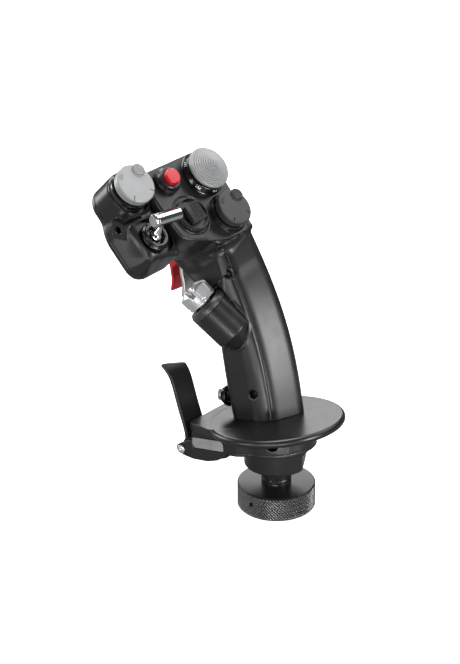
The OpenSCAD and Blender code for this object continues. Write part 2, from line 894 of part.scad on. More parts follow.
lock_ring();
ring_washer();
neck_tube();
connector_insert();
connector_pins();
clamp_collar();
base_housing();
hand_rest();
lever_bracket();
name_plate();
lever_pin();
lever_spring();
lever_switch();
grip_lever();
column_left_shell();
column_right_shell();
grip_screws();
circuit_board();
wire_loom();
side_button_bezel();
side_button_switch();
side_button();
hat_barrel();
barrel_ring();
barrel_hat_switch();
barrel_hat_pivot();
barrel_hat();
trigger_frame();
trigger_pin();
main_trigger();
second_trigger();
trigger_switch();
head_rear_shell();
head_front_shell();
pod_rear_shell();
pod_front_shell();
trim_ring();
trim_switch();
trim_pivot();
trim_hat();
dark_hat_ring();
dark_hat_switch();
dark_hat_pivot();
dark_hat();
castle_ring();
castle_switch();
castle_pivot();
castle_hat();
thumb_slide_ring();
thumb_slide_switch();
thumb_slide();
tee_socket();
tee_switch();
tee_pivot();
tee_lever();
red_button_bezel();
red_button_switch();
red_button();
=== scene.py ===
# Looks of the flight joystick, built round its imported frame.
# Shapes are in millimetres in a few local frames that come from the joints; meshes are written in metres.
import json

import bpy
import numpy as np
from mathutils import Matrix, Vector


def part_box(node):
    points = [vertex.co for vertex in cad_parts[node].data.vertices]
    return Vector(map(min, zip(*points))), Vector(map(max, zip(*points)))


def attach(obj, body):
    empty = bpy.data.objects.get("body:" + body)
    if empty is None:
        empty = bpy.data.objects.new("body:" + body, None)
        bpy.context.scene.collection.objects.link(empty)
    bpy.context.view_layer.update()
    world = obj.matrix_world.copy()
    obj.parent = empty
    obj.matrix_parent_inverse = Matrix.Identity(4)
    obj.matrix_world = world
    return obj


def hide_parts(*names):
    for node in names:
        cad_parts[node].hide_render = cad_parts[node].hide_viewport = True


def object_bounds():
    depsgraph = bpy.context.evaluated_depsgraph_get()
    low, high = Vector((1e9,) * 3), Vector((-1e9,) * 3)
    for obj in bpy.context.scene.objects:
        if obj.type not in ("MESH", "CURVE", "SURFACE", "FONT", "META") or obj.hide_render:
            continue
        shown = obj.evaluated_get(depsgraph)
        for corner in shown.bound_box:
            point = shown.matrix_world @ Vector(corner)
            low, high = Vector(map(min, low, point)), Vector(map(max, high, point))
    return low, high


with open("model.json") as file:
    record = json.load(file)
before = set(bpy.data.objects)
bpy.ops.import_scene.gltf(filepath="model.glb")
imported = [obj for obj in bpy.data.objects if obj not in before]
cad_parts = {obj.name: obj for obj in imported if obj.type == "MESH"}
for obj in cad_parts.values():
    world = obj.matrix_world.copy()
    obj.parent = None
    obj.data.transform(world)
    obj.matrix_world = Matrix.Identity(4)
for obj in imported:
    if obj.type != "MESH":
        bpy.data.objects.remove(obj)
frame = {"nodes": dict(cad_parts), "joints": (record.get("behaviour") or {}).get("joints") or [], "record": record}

MM = 0.001
cad_low, cad_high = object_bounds()
joints = {j["name"]: j for j in frame["joints"]}


# ---- local frames ------------------------------------------------------------------------------

class Frame:
    """A place with x and y directions; z completes them. Points are in millimetres."""

    def __init__(self, x, y, origin):
        self.x = np.array(x, float)
        self.y = np.array(y, float)
        self.turn = np.column_stack([self.x, self.y, np.cross(self.x, self.y)])
        self.origin = np.array(origin, float)

    def out(self, points):
        return np.asarray(points, float) @ self.turn.T + self.origin

    def into(self, points):
        return (np.asarray(points, float) - self.origin) @ self.turn

    def moved(self, x=0.0, y=0.0, z=0.0):
        return Frame(self.x, self.y, self.out((x, y, z)))


def direction(joint):
    return np.array(joints[joint]["axis"], float)


def pivot(joint):
    return np.array(joints[joint]["pos_m"], float) / MM


def hat_frame(joint):
    """Frame of a two-way control: x and y are its tilt axes, and its pivot lies 3 mm below the origin."""
    at = Frame(direction(joint + "_up_down"), direction(joint + "_left_right"), pivot(joint + "_up_down"))
    return at.moved(z=3.0)


TRIGGER_PIN = np.array([1.0, 51.8, 103.3])   # trigger pin in the grip's frame
BARREL_LEN = 19.0                            # from the barrel's root to its ring
WORLD = Frame((1, 0, 0), (0, 1, 0), (0, 0, 0))
GRIP = Frame(direction("lever_squeeze"), -direction("side_button_press"), (0, 0, 0))
GRIP = Frame(GRIP.x, GRIP.y, pivot("main_trigger_pull") - GRIP.out(TRIGGER_PIN))
TRIGGER = GRIP.moved(*TRIGGER_PIN)
BARREL_HAT = hat_frame("barrel_hat")
BARREL = BARREL_HAT.moved(z=-BARREL_LEN - 4.5)
HEAD = hat_frame("trim_hat")
DARK = hat_frame("dark_hat")
CASTLE = hat_frame("castle_hat")
TEE = hat_frame("tee_lever")
LEVER_PIN = GRIP.into(pivot("lever_squeeze"))


def centre_in(node, place):
    low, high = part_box(node)
    return place.into(np.array((low + high) / 2) / MM)


def on_head(node):
    """Frame on the control face, level with it, under a node's centre."""
    x, y, _ = centre_in(node, HEAD)
    return HEAD.moved(x, y)


RED = on_head("red_button")
SLIDE = on_head("thumb_slide_ring")


# ---- distance fields: negative inside, in millimetres -------------------------------------------

def both(a, b, r=0.0):
    """Where both fields are inside; edges are rounded by r."""
    if r <= 0:
        return np.maximum(a, b)
    u = np.maximum(a + r, 0)
    v = np.maximum(b + r, 0)
    return np.minimum(np.maximum(a, b), -r) + np.sqrt(u * u + v * v)


def either(a, b, r=0.0):
    """Where one or the other is inside; the corner between them is filled by r."""
    if r <= 0:
        return np.minimum(a, b)
    return -both(-a, -b, r)


def less(a, b, r=0.0):
    """The first field without the second; the new edges are rounded by r."""
    return both(a, -b, r)


def between(value, low, high):
    return np.maximum(low - value, value - high)


def ring(x, y, r):
    return np.sqrt(x * x + y * y) - r


def box(x, y, z, low, high, r=0.3):
    flat = both(between(x, low[0], high[0]), between(y, low[1], high[1]), r)
    return both(flat, between(z, low[2], high[2]), r)


def ball(x, y, z, r):
    return np.sqrt(x * x + y * y + z * z) - r


def outline(x, y, points):
    """Signed distance to a closed outline of points."""
    nearest = np.float32(1e12)
    inside = np.zeros(np.broadcast(x, y).shape, bool)
    for (x0, y0), (x1, y1) in zip(points, points[1:] + points[:1]):
        ex, ey = x1 - x0, y1 - y0
        along = np.clip(((x - x0) * ex + (y - y0) * ey) / (ex * ex + ey * ey), 0, 1)
        dx = x - x0 - ex * along
        dy = y - y0 - ey * along
        nearest = np.minimum(nearest, dx * dx + dy * dy)
        if ey != 0:
            inside ^= ((y0 > y) != (y1 > y)) & (x < ex * (y - y0) / ey + x0)
    distance = np.sqrt(nearest)
    return np.where(inside, -distance, distance)


def rounded(points, r, steps=5, closed=True):
    """The outline with arcs at its corners. A point may hold its own radius as a third number."""
    result = []
    count = len(points)
    for i, point in enumerate(points):
        here = np.array(point[:2], float)
        radius = point[2] if len(point) > 2 else r
        if radius <= 0 or (not closed and i in (0, count - 1)):
            result.append(tuple(here))
            continue
        before = np.array(points[i - 1][:2], float) - here
        after = np.array(points[(i + 1) % count][:2], float) - here
        len_b, len_a = np.linalg.norm(before), np.linalg.norm(after)
        before, after = before / len_b, after / len_a
        half = np.arccos(np.clip(before @ after, -1, 1)) / 2
        reach = min(radius / np.tan(half), len_b * 0.49, len_a * 0.49)
        radius = reach * np.tan(half)
        middle = before + after
        if np.linalg.norm(middle) < 1e-6:
            result.append(tuple(here))
            continue
        centre = here + middle / np.linalg.norm(middle) * radius / np.sin(half)
        a0 = np.arctan2(*(here + before * reach - centre)[::-1])
        a1 = np.arctan2(*(here + after * reach - centre)[::-1])
        sweep = (a1 - a0 + np.pi) % (2 * np.pi) - np.pi
        for k in range(steps + 1):
            a = a0 + sweep * k / steps
            result.append((centre[0] + radius * np.cos(a), centre[1] + radius * np.sin(a)))
    return result


# ---- meshes ------------------------------------------------------------------------------------

CORNERS = [(i, j, k) for i in (0, 1) for j in (0, 1) for k in (0, 1)]
EDGES = [(a, b) for a in CORNERS for b in CORNERS if sum(b) == sum(a) + 1 and all(p <= q for p, q in zip(a, b))]


def settle(field, points, cell, rounds=3):
    """Moves points onto the field's zero surface."""
    step = cell * 0.08
    for _ in range(rounds):
        value = field(*points.T)
        slope = np.stack([
            (field(*(points + step * e).T) - field(*(points - step * e).T)) / (2 * step) for e in np.eye(3)
        ], axis=1)
        size = np.maximum((slope * slope).sum(1), 0.05)
        move = np.clip(value / size, -cell / 2, cell / 2)
        points = points - slope * move[:, None]
    return points


def surface(field, low, high, cell):
    """Quads on the field's zero surface inside a box: one vertex in each grid cell that the surface crosses."""
    axes = [np.arange(a, b + cell, cell) for a, b in zip(low, high)]
    grid = np.meshgrid(*axes, indexing="ij", sparse=True)
    shape = tuple(len(a) for a in axes)
    value = np.broadcast_to(field(*grid), shape).astype(np.float32)
    inside = value < 0
    cells = tuple(n - 1 for n in shape)
    count = np.zeros(cells, np.uint8)
    for i, j, k in CORNERS:
        count += inside[i:i + cells[0], j:j + cells[1], k:k + cells[2]]
    active = (count > 0) & (count < 8)
    index = np.argwhere(active)
    number = np.full(cells, -1, np.int64)
    number[active] = np.arange(len(index))
    total = np.zeros((len(index), 3))
    crossings = np.zeros(len(index))
    for a, b in EDGES:
        va = value[tuple((index + a).T)]
        vb = value[tuple((index + b).T)]
        cross = (va < 0) != (vb < 0)
        share = np.where(cross, va / np.where(va == vb, 1, va - vb), 0)
        point = np.array(a) + share[:, None] * (np.array(b) - np.array(a))
        total += np.where(cross[:, None], point, 0)
        crossings += cross
    points = (index + total / crossings[:, None]) * cell + np.array(low)
    points = settle(field, points, cell)
    faces = []
    for axis in range(3):
        u, v = (axis + 1) % 3, (axis + 2) % 3
        start = [slice(1, n - 1) for n in shape]
        end = list(start)
        start[axis] = slice(0, shape[axis] - 1)
        end[axis] = slice(1, shape[axis])
        change = inside[tuple(start)] != inside[tuple(end)]
        nodes = np.argwhere(change) + [s.start for s in start]
        leaving = inside[tuple(nodes.T)]
        corner = []
        for du, dv in ((-1, -1), (0, -1), (0, 0), (-1, 0)):
            cell_at = nodes.copy()
            cell_at[:, u] += du
            cell_at[:, v] += dv
            corner.append(number[tuple(cell_at.T)])
        quads = np.stack(corner, axis=1)
        faces.append(np.where(leaving[:, None], quads, quads[:, ::-1]))
    return points, np.concatenate(faces)


def revolve(profile, steps=128, radius=None):
    """Quads round z from a closed [r, z] profile. radius(r, z, angle) may move the surface in or out."""
    profile = np.array(profile, float)
    angle = np.linspace(0, 2 * np.pi, steps, endpoint=False)
    r = np.repeat(profile[:, :1], steps, axis=1)
    z = np.repeat(profile[:, 1:2], steps, axis=1)
    a = np.repeat(angle[None, :], len(profile), axis=0)
    if radius is not None:
        r = radius(r, z, a)
    points = np.stack([r * np.cos(a), r * np.sin(a), z], axis=2).reshape(-1, 3)
    faces = []
    for i in range(len(profile)):
        here = i * steps + np.arange(steps)
        nxt = ((i + 1) % len(profile)) * steps + np.arange(steps)
        faces.append(np.stack([here, np.roll(here, -1), np.roll(nxt, -1), nxt], axis=1))
    return points, np.concatenate(faces)


def piece(name, shape, place, body, material, stands_for=None, sharp=35):
    """Makes an object from (points, quads), in a local frame, and fastens it to a body."""
    points, faces = shape
    mesh = bpy.data.meshes.new(name)
    mesh.from_pydata(place.out(points) * MM, [], faces.tolist())
    mesh.validate()
    merge_doubles(mesh)
    mesh.shade_smooth()
    if sharp:
        mesh.set_sharp_from_angle(angle=np.radians(sharp))
    obj = bpy.data.objects.new(name, mesh)
    bpy.context.scene.collection.objects.link(obj)
    mesh.materials.append(MATERIALS[material])
    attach(obj, body)
    if stands_for:
        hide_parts(stands_for)
    return obj


def merge_doubles(mesh):
    """Closes poles and drops faces that have no area."""
    import bmesh
    work = bmesh.new()
    work.from_mesh(mesh)
    bmesh.ops.remove_doubles(work, verts=work.verts, dist=1e-7)
    bmesh.ops.dissolve_degenerate(work, dist=1e-8, edges=work.edges)
    work.to_mesh(mesh)
    work.free()


# ---- materials ---------------------------------------------------------------------------------

MATERIALS = {}


def add(tree, kind, inputs=None, **settings):
    node = tree.nodes.new(kind)
    for name, value in settings.items():
        setattr(node, name, value)
    for name, value in (inputs or {}).items():
        if isinstance(value, bpy.types.NodeSocket):
            tree.links.new(value, node.inputs[name])
        else:
            node.inputs[name].default_value = value
    return node


def noise(tree, where, size_mm, detail=3.0, stretch=None):
    """Noise with features of about this size; stretch lengthens it along an axis."""
    vector = where
    if stretch is not None:
        vector = add(tree, "ShaderNodeVectorMath", {0: where, 1: stretch}, operation="MULTIPLY").outputs[0]
    return add(tree, "ShaderNodeTexNoise", {"Vector": vector, "Scale": 1000.0 / size_mm, "Detail": detail}).outputs[0]


def remap(tree, value, low, high, at_low=0.0, at_high=1.0):
    return add(tree, "ShaderNodeMapRange", {
        "Value": value, "From Min": low, "From Max": high, "To Min": at_low, "To Max": at_high
    }).outputs[0]


def blend(tree, share, first, second):
    node = add(tree, "ShaderNodeMix", data_type="RGBA")
    for index, value in ((0, share), (6, first), (7, second)):
        if isinstance(value, bpy.types.NodeSocket):
            tree.links.new(value, node.inputs[index])
        else:
            node.inputs[index].default_value = value
    return node.outputs[2]


def finish(name, color, rough, metallic=0.0, grain_mm=0.35, grain=0.12, mottle=0.15, wear=0.25, wear_color=None,
           coat=0.0, brushed=None, spread=0.08):
    """A surface with moulded or machined grain, slow changes of tone and gloss, and worn edges."""
    material = bpy.data.materials.new(name)
    material.use_nodes = True
    tree = material.node_tree
    shader = tree.nodes["Principled BSDF"]
    where = add(tree, "ShaderNodeTexCoord").outputs["Object"]
    clouds = noise(tree, where, 14.0)
    smudges = noise(tree, where, 4.5, detail=5.0)
    fine = noise(tree, where, grain_mm, detail=2.0, stretch=brushed)
    tone = remap(tree, clouds, 0.3, 0.7, 1 - mottle, 1 + mottle)
    base = add(tree, "ShaderNodeVectorMath", {0: tuple(color), 3: tone}, operation="SCALE").outputs[0]
    edge = add(tree, "ShaderNodeNewGeometry").outputs["Pointiness"]
    worn = remap(tree, edge, 0.53, 0.62, 0.0, wear)
    patchy = add(tree, "ShaderNodeMath", {0: worn, 1: remap(tree, smudges, 0.4, 0.6)}, operation="MULTIPLY").outputs[0]
    lighter = tuple(wear_color or [min(1.0, c * 1.8 + 0.06) for c in color]) + (1.0,)
    tree.links.new(blend(tree, patchy, base, lighter), shader.inputs["Base Color"])
    gloss = remap(tree, smudges, 0.25, 0.75, rough - spread / 2, rough + spread)
    tree.links.new(gloss, shader.inputs["Roughness"])
    shader.inputs["Metallic"].default_value = metallic
    shader.inputs["Coat Weight"].default_value = coat
    shader.inputs["Coat Roughness"].default_value = 0.12
    bump = add(tree, "ShaderNodeBump", {"Height": fine, "Strength": grain, "Distance": 0.00006})
    tree.links.new(bump.outputs[0], shader.inputs["Normal"])
    MATERIALS[name] = material
    return material


def paint_knurl_valley_shade(material, r):
    """Paints shade into the bottoms of a knurl on a wall of radius r (mm) round the z axis."""
    tree = material.node_tree
    shader = tree.nodes["Principled BSDF"]
    where = add(tree, "ShaderNodeTexCoord").outputs["Object"]
    flat = add(tree, "ShaderNodeVectorMath", {0: where, 1: (1.0, 1.0, 0.0)}, operation="MULTIPLY").outputs[0]
    radius = add(tree, "ShaderNodeVectorMath", {0: flat}, operation="LENGTH").outputs["Value"]
    raised = remap(tree, radius, (r - 0.4) * MM, (r - 0.05) * MM)
    color = shader.inputs["Base Color"].links[0].from_socket
    # painted shade: a near-black colour blended in towards the knurl's valley bottoms
    tree.links.new(blend(tree, raised, (0.012, 0.012, 0.012, 1), color), shader.inputs["Base Color"])


finish("black_shell", (0.012, 0.012, 0.0125), 0.31, grain_mm=0.3, grain=0.10, wear=0.12, spread=0.04)
finish("black_coat", (0.05, 0.05, 0.052), 0.30, metallic=0.8, grain_mm=0.2, grain=0.05, mottle=0.05, wear=0.12, spread=0.035)
finish("knurled_coat", (0.20, 0.20, 0.202), 0.34, metallic=0.9, grain_mm=0.4, grain=0.03, mottle=0.05, wear=0.0)
finish("black_ring", (0.006, 0.006, 0.006), 0.17, grain_mm=0.5, grain=0.04, coat=0.5)
finish("black_internal", (0.02, 0.02, 0.022), 0.5, grain=0.2)
finish("dark_cap", (0.034, 0.034, 0.036), 0.36, grain_mm=0.22, grain=0.2)
finish("grey_ring", (0.10, 0.10, 0.105), 0.30, metallic=0.7, grain_mm=0.3, brushed=(1, 1, 6))
finish("silver_cap", (0.34, 0.345, 0.35), 0.45, metallic=0.45, grain_mm=0.16, grain=0.15, mottle=0.05, spread=0.04)
finish("silver_metal", (0.66, 0.66, 0.67), 0.30, metallic=0.75, grain_mm=0.3, grain=0.15, mottle=0.06)
finish("polished", (0.68, 0.69, 0.70), 0.12, metallic=1.0, grain_mm=0.6, grain=0.02, mottle=0.03, spread=0.04)
finish("steel_part", (0.5, 0.5, 0.51), 0.28, metallic=1.0, grain=0.1)
finish("contact_brass", (0.75, 0.55, 0.22), 0.25, metallic=1.0, grain=0.08)
finish("label_grey", (0.36, 0.362, 0.365), 0.42, metallic=0.5, grain_mm=0.2, grain=0.3, brushed=(1, 8, 8))
finish("red_part", (0.50, 0.004, 0.012), 0.38, grain_mm=0.3, grain=0.08, wear=0.15, coat=0.3)
finish("board_green", (0.01, 0.10, 0.035), 0.35, grain_mm=0.8, grain=0.4)
finish("loom_black", (0.01, 0.01, 0.01), 0.6, grain_mm=0.5, grain=0.6)
# painted shade in the lock ring's knurl valleys
paint_knurl_valley_shade(MATERIALS["knurled_coat"], 24.0)
finish("screw_black", (0.004, 0.004, 0.004), 0.7, grain_mm=0.3, grain=0.2, mottle=0.1, wear=0.05)
MATERIALS["screw_black"].node_tree.nodes["Principled BSDF"].inputs["Specular IOR Level"].default_value = 0.05
finish("mark_white", (0.8, 0.8, 0.8), 0.5, grain_mm=0.2, grain=0.2)


# ---- lock ring and neck ------------------------------------------------------------------------

RING_LOW, RING_HIGH = [np.array(v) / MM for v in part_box("lock_ring")]
RING_R = (RING_HIGH[0] - RING_LOW[0]) / 2
RING_H = RING_HIGH[2]
NECK_R = 9.2
SCALE_TO_M = 1.0


def lock_ring():
    """Turned ring with a diamond knurl between two chamfers and a small blind spanner hole."""
    pitch, depth, edge = 2.0, 0.5, 1.0
    around = round(2 * np.pi * RING_R / pitch)
    hole_angle, hole_z, hole_r = np.radians(174), RING_H * 0.55, 1.1
    low, high = edge, RING_H - edge

    def knurled(r, z, a):
        u = a * around / (2 * np.pi)
        w = (z - low) / pitch
        ridge_a = np.abs(((u + w) % 1) - 0.5) * 2
        ridge_b = np.abs(((u - w) % 1) - 0.5) * 2
        height = np.clip((np.maximum(ridge_a, ridge_b) - 0.45) / 0.4, 0, 1)
        fade = np.clip(np.minimum(z - low, high - z) / 0.25, 0, 1)
        knurl = np.where((r > RING_R - 0.01) & (z >= low) & (z <= high), depth * (1 - height) * fade, 0)
        away = np.hypot((np.angle(np.exp(1j * (a - hole_angle)))) * RING_R, z - hole_z)
        pit = np.where(r > RING_R - 1, np.clip((hole_r + 0.25 - away) / 0.25, 0, 1) * 2.2, 0)
        return r - np.maximum(knurl, pit)

    wall = [(RING_R, z) for z in np.linspace(low, high, 64)]
    thread = []
    for z in np.arange(1.0, 9.0, 1.0):
        thread += [(17.0, z - 0.5), (17.5, z)]
    top = rounded([(9.3, RING_H), (RING_R - 0.6, RING_H), (RING_R, RING_H - 0.6)], 0.3, closed=False)
    rest = [(17.6, 12.9), (17.6, 9.0)] + thread[::-1]
    profile = [(17.0, 0.0)] + rounded([(17.2, 0), (RING_R - 0.6, 0), (RING_R, 0.6)], 0.3, closed=False)[1:]
    profile += wall + top[::-1][:-1] + [(9.3, RING_H), (9.3, 12.9)] + rest
    obj = piece("ring_knurled", revolve(profile, around * 8, knurled), WORLD, "lock_ring", "black_coat", "lock_ring")
    obj.data.materials.append(MATERIALS["knurled_coat"])
    for face in obj.data.polygons:
        x, y, z = face.center / MM
        if low < z < high and np.hypot(x, y) > RING_R - depth - 0.1:
            face.material_index = 1


def neck():
    """Neck tube with its flange, a turned line above the ring and a keyway."""
    def field(x, y, z):
        tube = both(ring(x, y, NECK_R), between(z, 10, 46), 0.3)
        shape = either(tube, both(ring(x, y, 16.2), between(z, 10, 12.4), 0.3))
        shape = less(shape, ring(x, y, 6.4), 0.3)
        line = both(np.abs(ring(x, y, NECK_R)) - 0.25, np.abs(z - 19.2) - 0.25)
        a = np.radians(-150)
        along = x * np.cos(a) + y * np.sin(a)
        across = y * np.cos(a) - x * np.sin(a)
        key = box(along, across, z, (NECK_R - 1.2, -1.4, 16.8), (NECK_R + 3, 1.4, 30))
        return less(less(shape, line), key, 0.2)
    piece("neck", surface(field, (-17, -17, 9.5), (17, 17, 46.5), 0.4), WORLD, "grip", "black_coat", "neck_tube")


def clamp_collar():
    def field(x, y, z):
        body = both(ring(x, y, 19.8), between(z, 28.3, 46), 0.7)
        a = np.radians(-64)
        flat = 17.2 - (x * np.cos(a) + y * np.sin(a))
        step = np.maximum(-flat - 20, z - 38)
        cut = np.maximum(-flat * -1, z - 38)
        body = less(body, np.maximum(flat, z - 38), 0.4)
        body = less(body, ring(x, y, NECK_R + 0.1), 0.4)
        groove = both(np.abs(ring(x, y, 19.8)) - 0.3, np.abs(z - 43.6) - 0.2)
        return less(body, groove)
    piece("collar", surface(field, (-20.5, -20.5, 28), (20.5, 20.5, 46.5), 0.45), WORLD, "grip", "black_coat",
          "clamp_collar")


# ---- housing, hand rest, bracket ---------------------------------------------------------------

HOUSING_LOW, REST_T = -18.0, 5.0
SIDE_X = -26.5
PIN_Y, PIN_Z = LEVER_PIN[1], LEVER_PIN[2]


def base_housing():
    def field(x, y, z):
        plan = ring(x, y, 23)
        ears = outline(x, y, [(-26.5, 13.2), (-14.8, -17.6), (14.8, -17.6), (26.5, 13.2), (26.5, 20), (-26.5, 20)])
        plan = either(plan, ears, 1.0)
        body = both(plan, between(z, HOUSING_LOW, -REST_T - 0.05), 0.5)
        body = less(body, box(x, y, z, (-30, 20, -30), (-8.95, 30, 0)), 0.2)
        a = np.radians(205)
        across = y * np.cos(a) - x * np.sin(a)
        along = x * np.cos(a) + y * np.sin(a)
        hole = np.maximum(np.sqrt(across ** 2 + (z + 9.5) ** 2) - 3.9, 15 - along)
        body = less(body, hole, 0.35)
        rim = both(np.abs(plan) - 0.3, np.abs(z + 16.2) - 0.18)
        return less(less(body, rim), ring(x, y, 19.9 + 0 * z) + np.maximum(0, z + 8))
    piece("housing", surface(field, (-27.5, -24, -18.8), (27.5, 24, -4.5), 0.5), GRIP, "grip", "black_coat",
          "base_housing")


def hand_rest():
    """Round plate with a full-radius rim, and a squared nose with crisp edges."""
    def field(x, y, z):
        rim = np.sqrt(np.maximum(ring(x, y, 39), -1e9) * 0 + np.maximum(ring(x, y, 39), 0) ** 2
                      + (z + REST_T / 2) ** 2) - REST_T / 2
        plate = np.where(ring(x, y, 39) < 0, np.abs(z + REST_T / 2) - REST_T / 2, rim)
        plan = outline(x, y, [(-26, 47), (-32.6, 26), (-20, 0), (20, 0), (32.6, 26), (26, 47)])
        nose = both(plan, between(z, -REST_T, 0), 0.35)
        shape = either(plate, nose, 0.4)
        return less(shape, np.sqrt((x - 1.2) ** 2 + y ** 2) - 7 + 0 * z, 0.3)
    piece("rest_plate", surface(field, (-42.5, -42.5, -5.6), (42.5, 48, 0.6), 0.5), GRIP, "grip", "black_coat",
          "hand_rest")


def bracket():
    arm = rounded([
        (45.6, -5.05), (20.1, -5.05), (20.1, -16), (21.5, -20.2), (25, -20.9), (28.5, -22.6, 2), (36, -24.2, 8),
        (47, -24, 6), (53.5, -22.6, 2), (59.2, -20.4, 3), (59, -16, 3), (50, -12.4, 1), (46.6, -11.7)
    ], 0.6)

    def field(x, y, z):
        shape = both(outline(y, z, arm), between(x, SIDE_X, -9), 0.5)
        shape = less(shape, box(x, y, z, (-24.0, 42, -30), (-11.5, 72, 20)), 0.4)
        shape = less(shape, box(x, y, z, (-30, 22.0, -16.4), (-25.9, 46.0, -8.9), 0.2), 0.2)
        shape = less(shape, np.sqrt((y - PIN_Y) ** 2 + (z - PIN_Z) ** 2) - 1.55 + 0 * x, 0.2)
        return less(shape, box(x, y, z, (-22, 24, -15), (-12, 36, -7)))
    piece("bracket", surface(field, (-27.2, 19.5, -25), (-8.4, 60, -4.5), 0.35), GRIP, "grip", "black_shell",
          "lever_bracket")
    plate = rounded([(22.6, -16.0), (44.4, -16.0), (45.8, -14.0), (45.4, -9.4), (24.2, -9.4), (22.4, -11.4)], 1.1)

    def label(x, y, z):
        return both(outline(y, z, plate), between(x, SIDE_X - 0.25, -25.95), 0.2)
    piece("label", surface(label, (-27.2, 22, -16.6), (-25.6, 46.2, -8.8), 0.2), GRIP, "grip", "label_grey",
          "name_plate")


def lever_pin():
    """Pin with a stepped, domed head at the left end."""
    low, high = -8.4, -SIDE_X
    rod = [(0, low + 16.8), (1.2, 8.4), (1.5, 8.7), (1.5, high)]
    head = [(2.6, high + 0.05), (2.7, high + 0.3), (2.7, high + 0.9), (2.2, high + 1.3), (1.7, high + 1.4),
            (1.6, high + 1.9), (1.1, high + 2.3), (0, high + 2.4)]
    side = Frame((0, 1, 0), (0, 0, -1), (0, 0, 0))
    place = Frame(GRIP.turn @ side.x, GRIP.turn @ side.y, GRIP.out((0, PIN_Y, PIN_Z)))
    piece("pin", revolve([(0.0, 8.4)] + rod[1:] + head, 48), place, "grip", "silver_metal", "lever_pin")


STRIP = [(48, -10.2), (48, -6), (49, 0), (50.7, 7), (52.3, 16), (53.9, 25), (56.2, 31), (61, 36.5)]


def smooth_line(points, rounds=3):
    points = [np.array(p, float) for p in points]
    for _ in range(rounds):
        middle = [q for a, b in zip(points, points[1:]) for q in (0.75 * a + 0.25 * b, 0.25 * a + 0.75 * b)]
        points = [points[0]] + middle + [points[-1]]
    return points


def offset_line(points, t):
    moved = []
    for i, p in enumerate(points):
        d = points[min(i + 1, len(points) - 1)] - points[max(i - 1, 0)]
        d = d / np.linalg.norm(d)
        moved.append(p + t * np.array([-d[1], d[0]]))
    return moved


def band(points, t):
    """Closed outline of a line with thickness t to its right."""
    line = smooth_line(points)
    return [tuple(p) for p in line + offset_line(line, -t)[::-1]]


def squeeze_lever():
    strip = band(STRIP, 2.0)
    link = [(PIN_Y - 2.4, PIN_Z + 1.6), (PIN_Y + 2.8, PIN_Z + 0.6), (50.6, -8), (48.4, -7), (48.2, -10.5)]

    def field(x, y, z):
        blade = both(outline(y, z, strip), between(x, -28.2, -9.8), 0.5)
        blade = less(blade, 37 - (x + 30) * 0.23 - z + 0 * y, 0.4)
        knuckle = both(np.sqrt((y - PIN_Y) ** 2 + (z - PIN_Z) ** 2) - 3, between(x, -23.8, -14.3), 0.4)
        web = both(outline(y, z, link), between(x, -23.8, -14.3), 0.4)
        shape = either(blade, either(knuckle, web, 0.8), 0.8)
        return less(shape, np.sqrt((y - PIN_Y) ** 2 + (z - PIN_Z) ** 2) - 1.55 + 0 * x)

    def trimmed(x, y, z):
        return field(x, y, z)
    piece("lever", surface(trimmed, (-29, 46, -22.5), (-9, 63, 39), 0.4), GRIP, "grip_lever", "black_coat",
          "grip_lever")


# ---- column ------------------------------------------------------------------------------------

REAR = [(-11.5, 0), (-11, 14), (-9.3, 30), (-7.5, 44), (-4.6, 58), (0, 74), (4.3, 86), (9.5, 99), (14.8, 111.6),
        (19.5, 122)]
FRONT = [(22.2, 0), (24, 15), (25.1, 30), (25.8, 43), (27, 55), (29.8, 67), (34.3, 76), (41, 84.5), (47.5, 91.4),
         (56, 99)]
SCREWS = [(7.2, 17.3), (17.8, 90.6)]
rear_fit = np.polyfit([z for _, z in REAR], [y for y, _ in REAR], 4)
front_fit = np.polyfit([z for _, z in FRONT], [y for y, _ in FRONT], 6)


def from_curve(fit, y, z):
    """Distance ahead of a curve y(z), measured square to it."""
    slope = np.polyval(np.polyder(fit), z)
    return (y - np.polyval(fit, z)) / np.sqrt(1 + slope * slope)


def column_field(x, y, z):
    """The whole column without its hollow: flat left face, rounded rear edge, broad slanted back."""
    v = from_curve(rear_fit, y, z)
    w = -from_curve(front_fit, y, z)
    bow = 0.0022 * (x + 2) ** 2
    back = 3.9 - 0.89 * v - 0.455 * x + bow - 0.3
    side = both(-12.0 - x + 0 * v, back, 9.0)
    side = both(side, x - 17.0 + 0 * v, 10.0)
    left_front = -(w + 1.15 * (x + 12)) / 1.524
    right_front = -(w + 1.15 * (17 - x)) / 1.524
    front = both(both(-w - 5.5, left_front, 3.0), right_front, 3.0)
    return both(side, front, 1.2)


def seam_side(x, y, z):
    """Negative on the left shell's side of the parting seam."""
    v = from_curve(rear_fit, y, z)
    behind = (11.0 - v) * 0.8 - (x + 10.6) * 0.3
    rear = np.where(x < -4, behind, 20.0)
    return np.maximum(x - 2.5, np.where(v < 16, rear * 1.0, -20.0))


def barrel_axis(x, y, z):
    """Distance from the barrel's axis and height along it, for points in the grip's frame."""
    o = GRIP.into(BARREL.origin)
    turn = GRIP.turn.T @ BARREL.turn
    dx, dy, dz = x - o[0], y - o[1], z - o[2]
    bx = dx * turn[0, 0] + dy * turn[1, 0] + dz * turn[2, 0]
    by = dx * turn[0, 1] + dy * turn[1, 1] + dz * turn[2, 1]
    bz = dx * turn[0, 2] + dy * turn[1, 2] + dz * turn[2, 2]
    return np.sqrt(bx * bx + by * by), bz


def head_z(x, y, z):
    """Height above the control face, for points in the grip's frame."""
    o = GRIP.into(HEAD.origin)
    n = GRIP.turn.T @ HEAD.turn[:, 2]
    return (x - o[0]) * n[0] + (y - o[1]) * n[1] + (z - o[2]) * n[2]


def head_xyz(x, y, z):
    o = GRIP.into(HEAD.origin)
    turn = GRIP.turn.T @ HEAD.turn
    return [
        (x - o[0]) * turn[0, i] + (y - o[1]) * turn[1, i] + (z - o[2]) * turn[2, i] for i in range(3)
    ]


